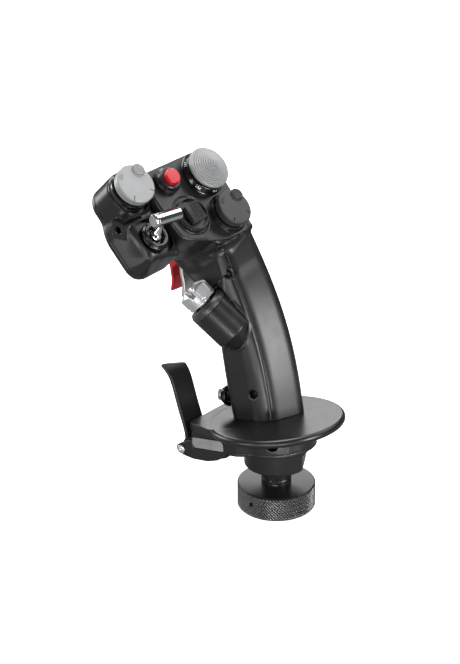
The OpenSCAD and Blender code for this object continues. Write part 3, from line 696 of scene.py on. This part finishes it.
def convex(x, y, points, r):
    """Signed field of a convex outline, whose points run clockwise, with rounded corners."""
    field = None
    for (x0, y0), (x1, y1) in zip(points, points[1:] + points[:1]):
        size = np.hypot(x1 - x0, y1 - y0)
        edge = ((y0 - y1) * (x - x0) + (x1 - x0) * (y - y0)) / size
        field = edge if field is None else both(field, edge, r)
    return field


def hood_field(x, y, z):
    """Hood over the triggers, with a shallow dish for the finger in its left side."""
    left = 0.03 * np.maximum(0, y - 46) ** 2 - 12 - x
    profile = convex(y, z, [(13, 114), (38, 146), (62, 144), (68, 134), (66, 104.6), (60, 99.2), (47, 91.6)], 2.5)
    return both(profile, np.maximum(left, x - 16.4), 1.5)


def flowing_body(x, y, z):
    """The centre block, hood and column as one flowing shape, without its hollow."""
    hx, hy, hz = head_xyz(x, y, z)
    block = both(convex(hx, hy, BLOCK, 2.0), -FRONT_DEPTH - hz, 1.5)
    boss = both(ring(hx - DARK_AT[0], hy - DARK_AT[1], 12.5), -SLAB - hz, 1.0)
    block = either(block, boss, 1.0)
    column = both(column_field(x, y, z), hy + 20, 3.0)
    grip = either(column, hood_field(x, y, z), 2.0)
    dish = np.sqrt((x + DISH_R + 12 - DISH_DEEP) ** 2 + (y - DISH[0]) ** 2 + (z - DISH[1]) ** 2) - DISH_R
    grip = less(grip, dish, 1.2)
    # a broad hollow under the block's left side, a small one on its right
    share = np.clip((8 - x) / 16, 0, 1)
    r = 2.5 + 10.5 * share * share * (3 - 2 * share)
    joined = np.maximum(np.minimum(block, grip), r) - np.sqrt(np.maximum(r - block, 0) ** 2
                                                              + np.maximum(r - grip, 0) ** 2)
    v = from_curve(rear_fit, y, z)
    back = 3.6 - 0.89 * v - 0.455 * x + 0.0022 * (x + 2) ** 2
    flare = (x - FLARE[0][0]) * FLARE[1][0] + (y - FLARE[0][1]) * FLARE[1][1] + (z - FLARE[0][2]) * FLARE[1][2]
    behind = np.minimum(either(back, flare, 8.0), -42 - hy)
    return both(both(joined, hz, 1.5), behind, 1.0)


def in_front_part(x, y, z, hy):
    """Negative where the moulding belongs to the head's front shell rather than to the column."""
    scoop = np.maximum(np.sqrt((y - DISH[0]) ** 2 + (z - DISH[1]) ** 2) - 21.3, x + 7)
    scoop = np.maximum(scoop, (17.6 - y) * 0.619 + (91.6 - z) * 0.785)
    return np.minimum(scoop, -42.1 - hy)


def root_taper(along):
    """How much the barrel's radius shrinks towards its root, where it runs into the column."""
    return 0.7 * np.maximum(0, -1.0 - along)


def column_shell(x, y, z, left):
    outer = flowing_body(x, y, z)
    radius, along = barrel_axis(x, y, z)
    radius = radius + root_taper(along)
    hy = head_xyz(x, y, z)[1]
    if left:
        lip = both(both(np.abs(radius - 13.9) - 0.6, between(along, -20, 13), 0.3), outer - 0.5, 0.3)
        outer = either(outer, lip, 0.5)
        outer = less(outer, both(np.abs(radius - 12.75) - 0.2, -outer - 0.5))
        outer = less(outer, np.maximum(radius - 13.0, between(along, BARREL_LEN - 0.1, 36)), 0.4)
    shape = np.maximum(outer, -(outer + 2.2))
    shape = both(shape, between(z, 0.05, 200), 0.25)
    shape = np.maximum(shape, 0.05 - in_front_part(x, y, z, hy))
    half = seam_side(x, y, z)
    shape = both(shape, half + 0.12, 0.7) if left else both(shape, 0.12 - half, 0.7)
    for sy, sz in SCREWS:
        reach = np.sqrt((y - sy) ** 2 + (z - sz) ** 2)
        floor = np.maximum(reach - 3.6, between(x, -9.0, -7.5))
        shape = less(shape, np.maximum(reach - 2.85, x + 2), 0.3)
        if left:
            shape = either(shape, floor)
    return shape


def column():
    for left, name in ((True, "left"), (False, "right")):
        low, high = ((-27, -4, -0.6), (3.2, 52, 118)) if left else ((-14, -14, -0.6), (18, 52, 118))
        shape = surface(lambda x, y, z: column_shell(x, y, z, left), low, high, 0.5)
        piece("column_" + name, shape, GRIP, "grip", "black_shell", "column_" + name + "_shell")


# ---- side button -------------------------------------------------------------------------------

def side_button():
    press = Frame((1, 0, 0), (0, 0, 1), (0, 0, 0))
    centre = GRIP.out((-4, 0, 12))
    place = Frame(GRIP.turn @ np.array((0, 0, 1.0)), GRIP.turn @ np.array((1.0, 0, 0)), centre)
    bezel = rounded([(4.1, 29.6), (6.8, 29.6), (6.8, 31.4), (5.9, 32.0), (5.6, 33.6), (4.1, 33.6)], 0.35)
    piece("side_bezel", revolve(bezel, 72), place, "grip", "black_ring", "side_button_bezel")

    def field(x, y, z):
        cap = both(ring(x, y, 4), between(z, 32.2, 37.4), 0.5)
        groove = both(np.abs(ring(x, y, 4)) - 0.3, np.abs(z - 34.6) - 0.2)
        cross = np.minimum(np.abs(x) - 0.35, np.abs(y) - 0.35)
        cut = np.maximum(cross, 36.9 - z)
        return less(less(cap, groove), cut, 0.1)
    piece("side_cap", surface(field, (-4.6, -4.6, 31.8), (4.6, 4.6, 38), 0.18), place, "side_button", "silver_metal",
          "side_button")


# ---- hats --------------------------------------------------------------------------------------

def turned(x, y, degrees):
    a = np.radians(degrees)
    return x * np.cos(a) + y * np.sin(a), y * np.cos(a) - x * np.sin(a)


def post_field(x, y, z, top):
    """The stalk and fork under a hat's cap."""
    post = both(ring(x, y, 4.3), between(z, -0.3, top), 0.2)
    post = less(post, ball(x, y, z + 3, 2.65))
    legs = both(np.abs(np.abs(y) - 3.1) - 0.55, np.maximum(np.abs(x) - 1.4, between(z, -4.3, 0)))
    return either(post, legs)


def castle_field(x, y, z, r, low, high):
    """Shallow cap: raised ribbed tab on one diagonal, a ribbed patch on the next, notches on the others."""
    cap = both(ring(x, y, r), between(z, low, high), 0.7)
    step = both(np.abs(ring(x, y, r)) - 0.28, z - (high - 2.3) + 0 * x)
    cap = less(cap, step, 0.15)
    u, v = turned(x, y, 45)
    pad = np.sqrt((u - r + 2.6) ** 2 + (v * 0.85) ** 2) - 3.4
    pad = both(pad, between(z, high - 1.5, high + 1.5), 0.6)
    arcs = np.abs((np.sqrt((u - r - 2) ** 2 + v ** 2) % 1.1) - 0.55) - 0.16
    pad = less(pad, np.maximum(arcs, high + 1.15 - z), 0.1)
    cap = either(cap, pad, 0.3)
    u, v = turned(x, y, 135)
    ribs = np.maximum(np.abs((v + 0.55) % 1.1 - 0.55) - 0.17, np.maximum(np.abs(v) - 2.2, np.abs(u - r + 2.1) - 1.5))
    cap = less(cap, np.maximum(ribs, high - 0.3 - z))
    for degrees in (-45, -135):
        u, v = turned(x, y, degrees)
        slit = np.maximum(np.abs(v) - 0.3, np.maximum(r - 3.4 - u, high - 0.6 - z))
        cap = less(cap, slit, 0.1)
    hollow = np.maximum(np.maximum(ring(x, y, r - 1.4), 4.6 - np.sqrt(x * x + y * y)), z - high + 2)
    return less(cap, hollow)


def castle_piece(name, place, body, material, node, r, low, high):
    def field(x, y, z):
        return either(castle_field(x, y, z, r, low, high), post_field(x, y, z, low + 0.6))
    piece(name, surface(field, (-r - 1.2, -r - 1.2, -4.8), (r + 1.2, r + 1.2, high + 2), 0.24), place, body,
          material, node)


def collar_profile(r, height, lines):
    """Wall of a hat's collar with turned grooves at the given heights."""
    points = [(8, 0.05), (r, 0.05)]
    for z in lines:
        points += [(r, z - 0.2), (r - 0.4, z - 0.05), (r - 0.4, z + 0.15)]
        r -= 0.35
        points += [(r, z + 0.3)]
    return points + [(r, height - 0.5), (r - 0.5, height), (8, height)]


def trim_hat():
    """Cone of turned ridges on a silver rim, over a stepped black collar."""
    r, under = 13.3, 6.2
    base, tip = under + 2.4, under + 9.0
    ridges, depth = 10, 0.6
    cone = []
    for i in range(ridges):
        for part, lift in ((0.0, 0.0), (0.12, depth), (0.9, depth * 0.35), (0.98, 0.0)):
            t = (i + part) / ridges
            cone.append((12.6 * (1 - t) + 0.5 * t, base + (tip - base) * t + lift))
    cone += [(0.3, tip + 0.15), (0, tip + 0.2)]
    rim = [(0, under), (12.2, under), (12.9, under + 0.2), (r, under + 0.7), (r, under + 1.7), (13.1, under + 2.2),
           (12.7, base)]
    piece("trim_cone", revolve(rim + cone, 160), HEAD, "trim_hat", "silver_cap", "trim_hat", sharp=20)

    def stalk(x, y, z):
        return post_field(x, y, z, under + 0.1)
    piece("trim_stalk", surface(stalk, (-5, -5, -4.8), (5, 5, under + 0.6), 0.3), HEAD, "trim_hat", "silver_cap")
    collar = [(8, 0.05), (14.5, 0.05), (14.5, 0.8), (14.3, 1.0), (13.95, 1.1), (13.95, 1.35), (14.2, 1.45),
              (14.2, 2.1), (14.0, 2.3), (12.9, 4.5), (12.6, 4.7), (8, 4.7)]
    piece("trim_collar", revolve(collar, 128), HEAD, "grip", "black_ring", "trim_ring")
    marks()


def marks():
    """Groups of plain white ticks on the trim hat's collar."""
    points, faces = [], []
    for group in (-150, -100, -55, 20, 60, 140):
        for k in range(3):
            a = np.radians(group + 5.2 * (k - 1))
            half = np.radians(0.8 if k != 1 else 1.2)
            for side in (-half, half):
                for r, z in ((13.97, 2.6), (13.22, 4.1)):
                    points.append((r * np.cos(a + side), r * np.sin(a + side), z))
                for r, z in ((13.6, 2.6), (12.9, 4.1)):
                    points.append((r * np.cos(a + side), r * np.sin(a + side), z))
            n = len(points) - 8
            faces += [[n, n + 4, n + 5, n + 1], [n + 2, n + 3, n + 7, n + 6], [n, n + 2, n + 6, n + 4],
                      [n + 1, n + 5, n + 7, n + 3], [n, n + 1, n + 3, n + 2], [n + 4, n + 6, n + 7, n + 5]]
    piece("trim_ticks", (np.array(points), np.array(faces)), HEAD, "grip", "mark_white")


def hats():
    trim_hat()
    castle_piece("dark_castle", DARK, "dark_hat", "dark_cap", "dark_hat", 11.2, 4.4, 9.2)
    piece("dark_collar", revolve(collar_profile(12.6, 2.9, (0.6, 1.25, 1.9)), 128), DARK, "grip", "black_ring",
          "dark_hat_ring")
    castle_piece("light_castle", CASTLE, "castle_hat", "silver_cap", "castle_hat", 12.1, 5.8, 10.6)
    piece("light_collar", revolve(collar_profile(12.5, 4.2, (0.9,)), 128), CASTLE, "grip", "black_ring",
          "castle_ring")


def barrel():
    def tube(x, y, z):
        wall = (ring(x, y, 12.6) + root_taper(z)) / 1.2
        shape = both(wall, between(z, -16, BARREL_LEN), 0.4)
        shape = np.maximum(shape, -(flowing_body(*grip_from_barrel(x, y, z)) + 0.4))
        return less(shape, np.maximum(ring(x, y, 7.5), 11.4 - z))
    piece("barrel_tube", surface(tube, (-13.2, -13.2, -16.6), (13.2, 13.2, BARREL_LEN + 0.6), 0.5), BARREL, "grip",
          "black_shell", "hat_barrel")
    rim = rounded([(7.8, 0.05), (12.6, 0.05), (12.6, 2.6), (11.3, 4.6), (7.8, 4.6)], 0.3)
    piece("barrel_rim", revolve(rim, 128), BARREL.moved(z=BARREL_LEN), "grip", "grey_ring", "barrel_ring")

    def petals(x, y, z):
        cap = both(ring(x, y, 9.7), between(z, 1.5, 13.0), 0.4)
        for degrees in (45, 135, 225, 315):
            u, v = turned(x, y, degrees)
            cap = both(cap, u - 8.9 + 0 * v, 0.25)
        for degrees in (0, 90, 180, 270):
            u, v = turned(x, y, degrees)
            channel = np.maximum(np.abs(v) - 1.5 - np.maximum(0, z - 9) * 0.5, np.maximum(7.5 - z, 1.5 - u))
            cap = less(cap, channel, 0.2)
        cap = less(cap, both(np.abs(ring(x, y, 9.7)) - 0.5, np.abs(z - 3.2) - 0.5))
        slope = 13.4 - 0.62 * np.maximum(0, np.sqrt(x * x + y * y) - 4.5)
        cap = both(cap, (z - slope) * 0.85, 0.25)
        return either(cap, post_field(x, y, z, 2.2))
    piece("barrel_petals", surface(petals, (-10.6, -10.6, -4.8), (10.6, 10.6, 13.8), 0.25), BARREL_HAT, "barrel_hat",
          "silver_metal", "barrel_hat")


def grip_from_barrel(x, y, z):
    o = GRIP.into(BARREL.origin)
    turn = GRIP.turn.T @ BARREL.turn
    return [o[i] + x * turn[i, 0] + y * turn[i, 1] + z * turn[i, 2] for i in range(3)]


# ---- thumb slide, red button, crossbar lever ---------------------------------------------------

def thumb_slide():
    def well(x, y, z):
        body = both(ring(x, y, 10.8), between(z, 0.02, 2.7), 0.5)
        step = both(np.abs(ring(x, y, 10.8)) - 0.55, 1.5 - z + 0 * x)
        body = less(body, step, 0.2)
        body = less(body, np.maximum(ring(x, y, 9.3), 0.6 - z), 0.3)
        return less(body, box(x, y, z, (-5.7, -2.6, -1), (5.7, 2.6, 5)))
    piece("slide_well", surface(well, (-11.5, -11.5, -0.4), (11.5, 11.5, 3.2), 0.3), SLIDE, "grip", "black_shell",
          "thumb_slide_ring")
    top = rounded([(-4.6, 0.8), (4.6, 0.8), (4.6, 4.2), (3.6, 7.2), (-3.6, 7.2), (-4.6, 4.2)], 0.5)

    def block(x, y, z):
        shape = both(outline(x, z, top), np.abs(y) - 5.7, 0.5)
        stem = box(x, y, z, (-3, -2.5, -3.6), (3, 2.5, 1.4))
        crest = np.abs((x + 0.5) % 1.0 - 0.5) - 0.2
        cut = np.maximum(crest, np.maximum(6.5 - z, np.abs(x) - 3.6))
        steps = np.maximum(np.abs((z + 0.6) % 1.2 - 0.6) - 0.22, np.maximum(5.75 - np.abs(y) - 0.5, 2.2 - z))
        return either(less(less(shape, cut, 0.1), steps, 0.1), stem)
    piece("slide_block", surface(block, (-5.1, -6.2, -4), (5.1, 6.2, 7.8), 0.2), SLIDE, "thumb_slide", "dark_cap",
          "thumb_slide")


def red_button():
    steps = rounded([(5.0, 0.05), (8.2, 0.05, 0.3), (8.2, 2.2, 0.6), (7.4, 3.0, 0.6), (6.9, 5.2, 0.5), (6.3, 5.6, 0.4),
                     (5.0, 5.6, 0.3), (5.0, 2.0, 0)], 0.3)
    piece("red_bezel", revolve(steps, 96), RED, "grip", "black_shell", "red_button_bezel")
    cap = rounded([(0, 4.2, 0), (4.9, 4.2, 0.1), (4.9, 8.2, 0.5), (4.3, 8.6, 0.6), (0, 8.75, 0)], 0.4)
    piece("red_cap", revolve(cap, 96), RED, "red_button", "red_part", "red_button")


def crossbar():
    """Polished bar on a stem that leans up the face to it."""
    bar_r, half_l = 4.0, 10.0
    middle = np.array((2.5, 4.3, 14.5))
    lean = middle / np.linalg.norm(middle)
    turn = np.radians(-6.5)

    def field(x, y, z):
        dx, dy = x - middle[0], y - middle[1]
        u, v = dx * np.cos(turn) + dy * np.sin(turn), dy * np.cos(turn) - dx * np.sin(turn)
        off = np.sqrt(v * v + (z - middle[2]) ** 2)
        end = np.abs(u) - half_l
        bar = np.maximum(np.maximum(off - bar_r, end), (off - bar_r + end + 0.7) * 0.707)
        line = np.maximum(np.abs(off - bar_r) - 0.15, np.abs(u + half_l - 1.6) - 0.12)
        along = x * lean[0] + y * lean[1] + z * lean[2]
        away = np.sqrt((x - along * lean[0]) ** 2 + (y - along * lean[1]) ** 2 + (z - along * lean[2]) ** 2)
        stem = both(away - 1.7 - np.maximum(0, 8 - along) * 0.22, between(along, 0.4, 13.0), 0.2)
        foot = ball(x, y, z - 0.4, 3.9)
        return either(either(either(less(bar, line), stem, 0.5), foot, 0.4), post_field(x, y, z, 0.2))
    piece("crossbar", surface(field, (-8.6, -5, -4.8), (13.4, 10.4, 19.2), 0.25), TEE, "tee_lever", "polished",
          "tee_lever", sharp=30)
    cap_at = middle - np.array((np.cos(turn), np.sin(turn), 0)) * (half_l + 0.02)
    toward = Frame(TEE.turn @ np.array((0, 0, 1.0)), TEE.turn @ np.array((np.sin(turn), -np.cos(turn), 0)),
                   TEE.out(cap_at))
    cap = [(0, 0), (3.0, 0), (3.0, 0.12), (2.9, 0.22), (0, 0.25)]
    piece("crossbar_cap", revolve(cap, 64), toward, "tee_lever", "silver_cap")
    socket = rounded([(5.0, 0.05, 0.2), (8.8, 0.05, 0.2), (8.8, 1.3, 0.7), (7.5, 1.7, 0.3), (7.3, 2.9, 0.5),
                      (5.4, 2.9, 0.6)], 0.3)
    piece("crossbar_socket", revolve(socket, 96), TEE, "grip", "black_ring", "tee_socket")


# ---- triggers ----------------------------------------------------------------------------------

def triggers():
    def blade(reach, drop, bow):
        return [(reach * 0.2, -2), (reach * 0.75, -6), (reach, -drop * 0.45), (reach - bow, -drop * 0.75),
                (reach + 0.6, -drop)]
    main = band(blade(8, 31, 1.5), 3.0)

    def main_field(x, y, z):
        hub = both(np.sqrt(y * y + z * z) - 3, np.abs(x) - 5, 0.3)
        face = outline(y, z, main) + 0.05 * x * x * 0
        shape = either(hub, both(face, np.abs(x) - 5, 1.1), 0.6)
        return less(shape, np.sqrt(y * y + z * z) - 1.55 + 0 * x)
    piece("trigger_main", surface(main_field, (-5.6, -4, -32.5), (5.6, 12, 4), 0.3), TRIGGER, "main_trigger",
          "silver_metal", "main_trigger")
    front = band([(11.6, -7), (13.2, -13), (12.4, -20), (14.6, -26.5)], 1.8)
    cheek = rounded([(-2.6, -1.5), (-1.5, 2.6), (2.6, 1.8), (13, -6), (13, -12), (10.5, -12)], 0.8)

    def second_field(x, y, z):
        sides = both(outline(y, z, cheek), np.abs(np.abs(x) - 6.1) - 0.8, 0.2)
        shape = either(sides, both(outline(y, z, front), np.abs(x) - 6.9, 0.6), 0.4)
        return less(shape, np.sqrt(y * y + z * z) - 1.55 + 0 * x)
    piece("trigger_second", surface(second_field, (-7.4, -4, -28), (7.4, 17, 4), 0.3), TRIGGER, "second_trigger",
          "red_part", "second_trigger")


# ---- head --------------------------------------------------------------------------------------

BLOCK = [(-43, 15), (15, 15), (14.5, -8), (12, -26), (7, -42), (-13, -42), (-26.7, -37), (-36, -33.5), (-41.4, -29),
         (-43, -20)]
SLAB = 14.0
FRONT_DEPTH = 27.0
POD_LEVEL = -4.5
CASTLE_AT = HEAD.into(CASTLE.origin)
TEE_AT = HEAD.into(TEE.origin)
DARK_AT = HEAD.into(DARK.origin)
RED_AT = HEAD.into(RED.origin)
SLIDE_AT = HEAD.into(SLIDE.origin)


def grip_from_head(x, y, z):
    o = GRIP.into(HEAD.origin)
    turn = GRIP.turn.T @ HEAD.turn
    return [o[i] + x * turn[i, 0] + y * turn[i, 1] + z * turn[i, 2] for i in range(3)]


def scallop(x, y, r=13.3):
    return np.sqrt((x - CASTLE_AT[0]) ** 2 + (y - CASTLE_AT[1]) ** 2) - r


DISH, DISH_R, DISH_DEEP = (38.2, 93.4), 63.0, 3.6
corner_a, corner_b = GRIP.into(HEAD.out([(-30, -36, 0), (-13, -42, 0)]))
flare_normal = np.cross(corner_b - corner_a, np.array((-9.5, 19.0, 98.0)) - corner_a)
flare_normal /= np.linalg.norm(flare_normal) * -np.sign(flare_normal[1])
FLARE = (corner_a, flare_normal)


def rear_zone(x, y, z):
    return np.maximum(np.maximum(-SLAB - z, convex(x, y, BLOCK, 2.0) - 0.3), -42.1 - y)


def rear_block(x, y, z):
    whole = flowing_body(*grip_from_head(x, y, z))
    body = np.maximum(whole, -(whole + 2.2))
    body = both(body, rear_zone(x, y, z) + 0.1, 0.2)
    body = less(body, scallop(x, y) + 0 * z, 0.4)
    for at in ((0, 0), DARK_AT):
        body = less(body, np.maximum(ring(x - at[0], y - at[1], 7.5), -6 - z), 0.2)
    body = less(body, np.maximum(box(x - SLIDE_AT[0], y - SLIDE_AT[1], z, (-6, -3, -9), (6, 3, 4)), -8 - z))
    body = less(body, np.maximum(ring(x - RED_AT[0], y - RED_AT[1], 4), -6 - z))
    dish = np.sqrt((x - SLIDE_AT[0]) ** 2 + (y - SLIDE_AT[1]) ** 2) - 12.2
    return less(body, np.maximum(np.abs(dish) - 0.35, -0.35 - z), 0.3)


def front_block(x, y, z):
    gx, gy, gz = grip_from_head(x, y, z)
    body = flowing_body(gx, gy, gz)
    body = np.maximum(body, -(body + 2.4))
    body = np.maximum(body, in_front_part(gx, gy, gz, y) + 0.05)
    body = both(body, 0.1 - rear_zone(x, y, z), 0.2)
    body = less(body, scallop(x, y) + 0 * z, 0.4)
    well = box(gx - TRIGGER_PIN[0], gy - TRIGGER_PIN[1], gz - TRIGGER_PIN[2], (-7.4, -12, -40), (7.4, 18, 4))
    seat = box(gx - TRIGGER_PIN[0], gy - TRIGGER_PIN[1], gz - TRIGGER_PIN[2], (-9.05, -9.05, -12), (9.05, 5, 12))
    return less(less(body, well, 0.4), seat)


def pod_field(x, y, z):
    plan = convex(x, y, [(-71, 17), (-43.3, 17), (-43.3, -36), (-66, -36), (-71, -31)], 3.0)
    plan = both(plan, (-x - 71 + y - 17) * 0.707 + 13.0, 7.0)
    draft = np.maximum(0, z + 20) * np.clip((-44 - x) / 14, 0, 1) * 0.30
    body = both(plan + draft, z - POD_LEVEL, 3.0)
    castle = both(scallop(x, y, 13.0), z - POD_LEVEL, 0.7)
    tee = both(np.sqrt((x - TEE_AT[0]) ** 2 + (y - TEE_AT[1]) ** 2) - 11.0, z - POD_LEVEL, 0.9)
    body = either(either(body, castle, 4.0), tee, 4.0)
    facet = np.abs(y + 6.6) * 0.72 + np.abs(z + 10.2) * 0.72 - 5.0
    facet = np.maximum(both(facet, -69.9 - x, 0.35), x + 55)
    return either(body, facet, 0.5)


def pod_shell(x, y, z, rear):
    body = pod_field(x, y, z)
    if rear:
        body = both(body, -19.88 - z, 0.35)
        inner = np.maximum(pod_field(x, y, z + 2.2) + 2.2, 0)
    else:
        body = both(body, z + 20.12, 0.35)
        body = both(body, -24 - z, 1.0)
    hole = np.maximum(np.sqrt((y + 6.6) ** 2 + (z + 10.2) ** 2) - 2.3, x + 60)
    body = less(body, hole, 0.3)
    if rear:
        body = less(body, np.maximum(pod_field(x, y, z) + 2.2, z - POD_LEVEL + 2.2))
        for at in (CASTLE_AT, TEE_AT):
            body = less(body, np.maximum(ring(x - at[0], y - at[1], 7.5), -12 - z), 0.2)
    return body


def head():
    piece("head_rear", surface(rear_block, (-44, -43, -14.6), (16, 16, 0.6), 0.5), HEAD, "grip", "black_shell",
          "head_rear_shell")
    piece("head_front", surface(front_block, (-44, -66, -52), (28, 16, 0), 0.6), HEAD, "grip", "black_shell",
          "head_front_shell")
    piece("pod_rear", surface(lambda x, y, z: pod_shell(x, y, z, True), (-72, -37, -20.6), (-39, 23.4, -3.8), 0.5),
          HEAD, "grip", "black_shell", "pod_rear_shell")
    piece("pod_front", surface(lambda x, y, z: pod_shell(x, y, z, False), (-72, -37, -24.8), (-39, 23.4, -19.6), 0.5),
          HEAD, "grip", "black_shell", "pod_front_shell")


# ---- build -------------------------------------------------------------------------------------

for build in (lock_ring, neck, clamp_collar, base_housing, hand_rest, bracket, lever_pin, squeeze_lever, column,
              side_button, hats, barrel, thumb_slide, red_button, crossbar, triggers, head):
    build()

# CAD nodes that stay as they are get their slot's finish
slots = {s["node"]: s["material_slot"] for s in frame["record"]["subparts"]}
slots["grip_screws"] = "screw_black"
for name, node in frame["nodes"].items():
    node.data.materials.clear()
    node.data.materials.append(MATERIALS[slots[name]])
    if not node.hide_render:
        node.data.set_sharp_from_angle(angle=np.radians(30))


# ---- studio ------------------------------------------------------------------------------------

def floor():
    mesh = bpy.data.meshes.new("floor")
    mesh.from_pydata([(-6, -6, 0), (6, -6, 0), (6, 6, 0), (-6, 6, 0)], [], [(0, 1, 2, 3)])
    obj = bpy.data.objects.new("floor", mesh)
    bpy.context.scene.collection.objects.link(obj)
    material = bpy.data.materials.new("floor_paint")
    material.use_nodes = True
    tree = material.node_tree
    shader = tree.nodes["Principled BSDF"]
    camera_ray = add(tree, "ShaderNodeLightPath").outputs["Is Camera Ray"]
    tree.links.new(blend(tree, camera_ray, (0.24, 0.24, 0.24, 1), (0.9, 0.9, 0.9, 1)), shader.inputs["Base Color"])
    shader.inputs["Roughness"].default_value = 0.85
    tree.links.new(add(tree, "ShaderNodeMath", {0: camera_ray, 1: 0.93}, operation="MULTIPLY").outputs[0],
                   shader.inputs["Emission Strength"])
    shader.inputs["Emission Color"].default_value = (1, 1, 1, 1)
    mesh.materials.append(material)


def softbox(name, position, target, size, power):
    light = bpy.data.lights.new(name, "AREA")
    light.shape = "RECTANGLE"
    light.size, light.size_y = size
    light.energy = power
    obj = bpy.data.objects.new(name, light)
    obj.location = position
    obj.rotation_euler = (Vector(target) - Vector(position)).to_track_quat("-Z", "Y").to_euler()
    bpy.context.scene.collection.objects.link(obj)


def studio():
    middle = (cad_low + cad_high) / 2
    world = bpy.data.worlds.new("studio")
    bpy.context.scene.world = world
    world.use_nodes = True
    tree = world.node_tree
    camera_ray = add(tree, "ShaderNodeLightPath").outputs["Is Camera Ray"]
    strength = remap(tree, camera_ray, 0, 1, 0.07, 1.3)
    tree.links.new(strength, tree.nodes["Background"].inputs["Strength"])
    tree.nodes["Background"].inputs["Color"].default_value = (0.95, 0.96, 1.0, 1)
    softbox("key_rear", (-0.04, -1.15, 0.29), middle, (0.34, 0.60), 10)
    softbox("above", (0.15, 0.25, 1.25), middle, (0.7, 0.7), 11)
    softbox("face", (0.72, -0.30, 1.00), middle, (0.8, 0.6), 4.4)
    softbox("ahead_right", (0.85, 0.75, 0.50), middle, (0.9, 0.5), 5)
    softbox("ahead", (-0.2, 1.15, 0.40), middle, (0.5, 0.6), 6)
    softbox("left", (-1.1, 0.35, 0.22), middle, (0.45, 0.5), 3.5)
    softbox("left_rear", (-1.06, -0.285, 0.25), middle, (0.24, 0.5), 2.4)
    softbox("low", (-0.34, -0.27, 0.012), (0, 0, 0.05), (0.20, 0.06), 0.8)


def camera():
    """The viewing angle: from behind and to the left, looking down a little."""
    azimuth, elevation, away = np.radians(-54), np.radians(22.6), 0.8
    back = Vector((np.sin(azimuth) * np.cos(elevation), -np.cos(azimuth) * np.cos(elevation), np.sin(elevation)))
    target = (cad_low + cad_high) / 2 + Vector((0.0, 0.0, 0.0))
    target = Vector((-0.0161, 0.0222, 0.1145))
    data = bpy.data.cameras.new("camera")
    data.lens = 73.8
    data.clip_start = 0.05
    obj = bpy.data.objects.new("camera", data)
    obj.location = target + back * away
    look = (-back).to_track_quat("-Z", "Y").to_matrix().to_4x4()
    obj.rotation_euler = (look @ Matrix.Rotation(np.radians(-0.7), 4, "Z")).to_euler()
    bpy.context.scene.collection.objects.link(obj)
    bpy.context.scene.camera = obj


floor()
studio()
camera()
bpy.context.scene.view_settings.view_transform = "Standard"
